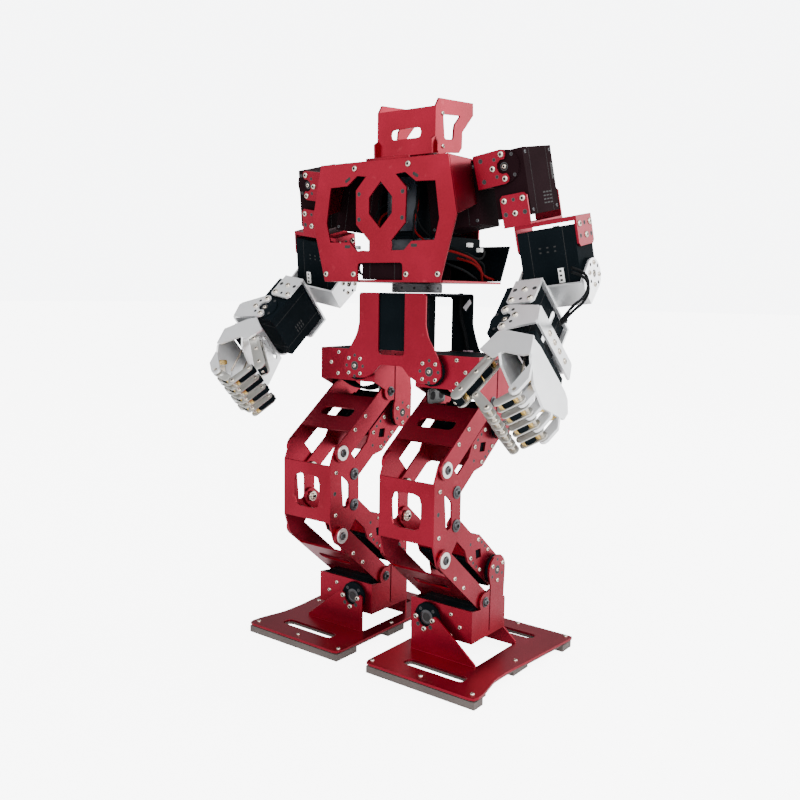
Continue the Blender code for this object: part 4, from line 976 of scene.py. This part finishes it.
def finger_link(parts, row, start, end, frame_matrix, last):
    """One finger link: two thin plates on brass posts round a dark core, with screws at its ends."""
    plates, posts, heads, cores = parts
    start, end = Vector(start), Vector(end)
    ahead = (end - start).normalized()
    outline = wrap(ring(*start, 3.3, 20), ring(*end, 3.0, 20))
    half, sheet = FINGER_WIDTH / 2, 0.9
    for v in (row - half, row + half - sheet):
        plates.add(plate("y", v, v + sheet, outline, edge=0.15), frame_matrix)
    core = (start + ahead * 6.2, end + ahead * (1.0 if last else -3.4))
    body = wrap(*(ring(*spot, 2.5, 12) for spot in core))
    cores.add(plate("y", row - half + sheet, row + half - sheet, body, edge=0.1), frame_matrix)
    for spot in (start + ahead * 2.4, end - ahead * 0.4):
        posts.add(lathe([(1.7, 0), (1.7, FINGER_WIDTH - 2 * sheet - 0.2)], 6),
                  frame_matrix @ lift((spot.x, row - half + sheet + 0.1, spot.y), (0, 1, 0)))
    for v, normal in ((row - half, (0, -1, 0)), (row + half, (0, 1, 0))):
        heads.add(button(1.8, 0.8, 0.8), frame_matrix @ lift((start.x, v, start.y), normal))
        if last:
            heads.add(button(1.4, 0.6, 0.65), frame_matrix @ lift((end.x, v, end.y), normal))
    if last:
        pad = frame_matrix @ lift((end.x + ahead.x * 0.8, row, end.y + ahead.y * 0.8),
                                  (ahead.x, 0, ahead.y))
        cores.add(cuboid(-2.6, 2.6, -2.6, 2.6, 0.0, 3.0, 0.5), pad)
        heads.add(button(1.1, 0.5, 0.5), pad @ Matrix.Translation((0, 0, 3.0)))


def dress_fingers(side, hand):
    name = side_name(side)
    knuckle, joint, tip = Vector(KNUCKLE), Vector(FINGER_JOINT), Vector(FINGER_TIP)
    near = (joint - knuckle).normalized()
    for row_name, node, start, end, last in (
        ("fingers", "fingers_proximal", knuckle, joint - near * 6.9, False),
        ("fingertips", "fingers_distal", joint, tip, True),
    ):
        body = f"{name}_{row_name}"
        plates = Piece(body, f"{name}_{node}_plates", "finger", replaces=(f"{name}_{node}",))
        posts = Piece(body, f"{name}_{node}_posts", "brass")
        heads = screw_piece(body, f"{name}_{node}")
        cores = Piece(body, f"{name}_{node}_cores", "black")
        for row in FINGER_ROW:
            finger_link((plates, posts, heads, cores), row, start, end, hand, last)
        rod = Piece(body, f"{name}_{node}_rod", "nickel")
        spare = 2.0 if last else 6.0
        first, stop = FINGER_ROW[0] - spare, FINGER_ROW[-1] + spare
        rod.add(drum(1.4, stop - first, 0.3), hand @ lift((start.x, first, start.y), (0, 1, 0)))


def dress_thumb(side, hand):
    name = side_name(side)
    body = f"{name}_thumb"
    base, tip = Vector(THUMB_BASE), Vector(THUMB_TIP)
    outline = wrap(ring(*base, 3.8, 20), ring(*tip, 4.3, 20))
    plates = Piece(body, f"{name}_thumb_plates", "finger", replaces=(f"{name}_thumb",))
    posts = Piece(body, f"{name}_thumb_posts", "brass")
    heads = screw_piece(body, f"{name}_thumb")
    bore = ring(*base, 1.2, 12)
    for v in (1.2, 8.6):
        plates.add(plate("y", v, v + 1.4, outline, (bore,), edge=0.2), hand)
    ahead = (tip - base).normalized()
    cores = Piece(body, f"{name}_thumb_cores", "black")
    for first, last in ((0.22, 0.34), (0.5, 0.78)):
        ends = (base.lerp(tip, first), base.lerp(tip, last))
        cores.add(plate("y", 2.7, 8.5, wrap(*(ring(*spot, 2.8, 12) for spot in ends)), edge=0.1), hand)
    pad = hand @ lift((tip.x, 5.6, tip.y), (ahead.x, 0, ahead.y))
    cores.add(cuboid(-3.0, 3.0, -2.8, 2.8, 0.0, 4.6, 0.6), pad)
    heads.add(button(1.2, 0.5, 0.55), pad @ Matrix.Translation((0, 0, 4.6)))
    for share in (0.06, 0.44, 0.9):
        spot = base.lerp(tip, share)
        posts.add(lathe([(1.9, 0), (1.9, 6.0)], 6), hand @ lift((spot.x, 2.6, spot.y), (0, 1, 0)))
        for v, normal in ((1.2, (0, -1, 0)), (10.0, (0, 1, 0))):
            heads.add(button(1.6, 0.7, 0.75), hand @ lift((spot.x, v, spot.y), normal))


def dress_hand(side, frames):
    name = side_name(side)
    hand = frames["hand"]
    body = f"{name}_hand"
    tab_details(body, f"{name}_hand_tab", hand @ Matrix.Diagonal((-1, 1, 1, 1)), ())
    heads = screw_piece(body, f"{name}_hand")
    spots = [(23.9, v, -4.4) for v in (17.0, 25.0, 33.0, 42.0)]
    screws(heads, SCREW, spots, (1, 0, 0), hand, 2)
    posts = Piece(body, f"{name}_palm_posts", "brass")
    for v, w in ((9.0, -50.0), (27.0, -57.5), (46.0, -47.0)):
        posts.add(lathe([(1.9, 0), (1.9, 5.8)], 6), hand @ lift((16.6, v, w), (1, 0, 0)))
    box = (8.6, 22.0, 3.5, 47.0, -24.2, -14.7)
    case_seams(body, f"{name}_hand_servo", box, "y", (0.3, 0.7), hand)
    rods = Piece(body, f"{name}_hand_pushrods", "nickel")
    for v in (13.5, 24.5, 35.5):
        rods.add(drum(0.8, 30.0, 0.2), hand @ lift((12.0, v, -24.6), (0, 0, -1)))
    dress_fingers(side, hand)
    dress_thumb(side, hand)


# CAD surfaces and stage.


def node_material(node):
    if "sole" in node:
        return "rubber"
    if "shoulder_servo" in node or "pitch_servo" in node:
        return "brown"
    if "servo" in node or node in ("waist_turntable", "chest_electronics", "pelvis_rear_frame"):
        return "black"
    if any(w in node for w in ("forearm_bracket", "hand_bracket", "palm", "fingers", "thumb")):
        return "silver"
    return "red"


def soften(item, width):
    """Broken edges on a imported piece: its corners joined again, then a narrow bevel."""
    weld = item.modifiers.new("Weld", "WELD")
    weld.merge_threshold = 2e-6
    bevel = item.modifiers.new("Bevel", "BEVEL")
    bevel.width = width * MM
    bevel.segments = 2
    bevel.limit_method = "ANGLE"
    bevel.angle_limit = math.radians(40)
    bevel.use_clamp_overlap = True
    bevel.harden_normals = False


def dress_nodes():
    for node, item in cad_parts.items():
        key = node_material(node)
        item.data.materials.clear()
        item.data.materials.append(MATERIALS[key])
        for face in item.data.polygons:
            face.use_smooth = False
            face.material_index = 0
        soften(item, 0.55 if key in ("black", "brown") else 0.22)


def area_light(name, place, size, power):
    data = bpy.data.lights.new(name, "AREA")
    data.shape = "RECTANGLE"
    data.size, data.size_y = size
    data.energy = power
    item = show(name, data)
    item.location = place
    item.rotation_euler = (Vector(LIT_SPOT) - Vector(place)).to_track_quat("-Z", "Y").to_euler()


def make_floor():
    """A wide pale floor, which the camera sees brighter than it lights the robot."""
    paper = shade("studio_floor", (0.88, 0.88, 0.88), (0.92, 0.92, 0.92), 0.0, (0.75, 0.9), 60, 0.02)
    nodes, links = paper.node_tree.nodes, paper.node_tree.links
    path = nodes.new("ShaderNodeLightPath")
    glow = nodes.new("ShaderNodeMath")
    glow.operation = "MULTIPLY"
    glow.inputs[1].default_value = FLOOR_GLOW
    links.new(path.outputs["Is Camera Ray"], glow.inputs[0])
    shader = nodes["Principled BSDF"]
    shader.inputs["Emission Color"].default_value = (1, 1, 1, 1)
    links.new(glow.outputs[0], shader.inputs["Emission Strength"])
    mesh = bpy.data.meshes.new("studio_floor")
    corners = [(x * FLOOR_REACH, y * FLOOR_REACH, 0) for x, y in ((-1, -1), (1, -1), (1, 1), (-1, 1))]
    mesh.from_pydata(corners, [], [(0, 1, 2, 3)])
    mesh.materials.append(paper)
    show("studio_floor", mesh)


def make_world():
    """Studio walls: bright towards the robot's left, dim on its right, and white where seen."""
    world = bpy.data.worlds.new("studio")
    bpy.context.scene.world = world
    world.use_nodes = True
    nodes, links = world.node_tree.nodes, world.node_tree.links
    where = nodes.new("ShaderNodeTexCoord")
    facing = nodes.new("ShaderNodeVectorMath")
    facing.operation = "DOT_PRODUCT"
    facing.inputs[1].default_value = BRIGHT_SIDE
    links.new(where.outputs["Generated"], facing.inputs[0])
    fade = map_range(nodes, links, facing.outputs["Value"], (*WALL_FADE, *WALL_LIGHT))
    path = nodes.new("ShaderNodeLightPath")
    seen = nodes.new("ShaderNodeMix")
    seen.inputs["B"].default_value = SEEN_WHITE
    links.new(path.outputs["Is Camera Ray"], seen.inputs["Factor"])
    links.new(fade, seen.inputs["A"])
    sky = nodes["Background"]
    sky.inputs["Color"].default_value = (0.97, 0.98, 1.0, 1.0)
    links.new(seen.outputs["Result"], sky.inputs["Strength"])


def make_stage():
    make_floor()
    make_world()
    for name, (place, size, power) in LIGHTS.items():
        area_light(name, place, size, power)


def make_camera():
    """The camera, from its place, the way it looks and its roll."""
    ahead = Vector(CAMERA_AHEAD).normalized()
    level = ahead.cross(Vector((0, 0, 1))).normalized()
    upright = level.cross(ahead)
    roll = math.radians(CAMERA_ROLL)
    x_axis = level * math.cos(roll) + upright * math.sin(roll)
    y_axis = upright * math.cos(roll) - level * math.sin(roll)
    turn = Matrix((x_axis, y_axis, -ahead)).transposed().to_4x4()
    place = (Vector(CAMERA_PLACE) - CENTRE_OFFSET) * MM
    data = bpy.data.cameras.new("camera")
    data.lens, data.sensor_width = CAMERA_LENS, CAMERA_SENSOR
    data.clip_start, data.clip_end = 0.01, 50.0
    item = show("camera", data)
    item.matrix_world = Matrix.Translation(place) @ turn
    bpy.context.scene.camera = item


def main():
    dress_nodes()
    for side in (1, -1):
        dress_leg(side)
        frames = shoulder_frames(side)
        dress_upper_arm(side, frames)
        dress_forearm(side, frames)
        dress_hand(side, frames)
    dress_pelvis()
    waist_lead()
    dress_chest()
    dress_waist_disc()
    dress_controller()
    dress_chest_servos()
    dress_chest_leads()
    dress_head()
    for piece in Piece.made:
        piece.build()
    make_stage()
    make_camera()


main()
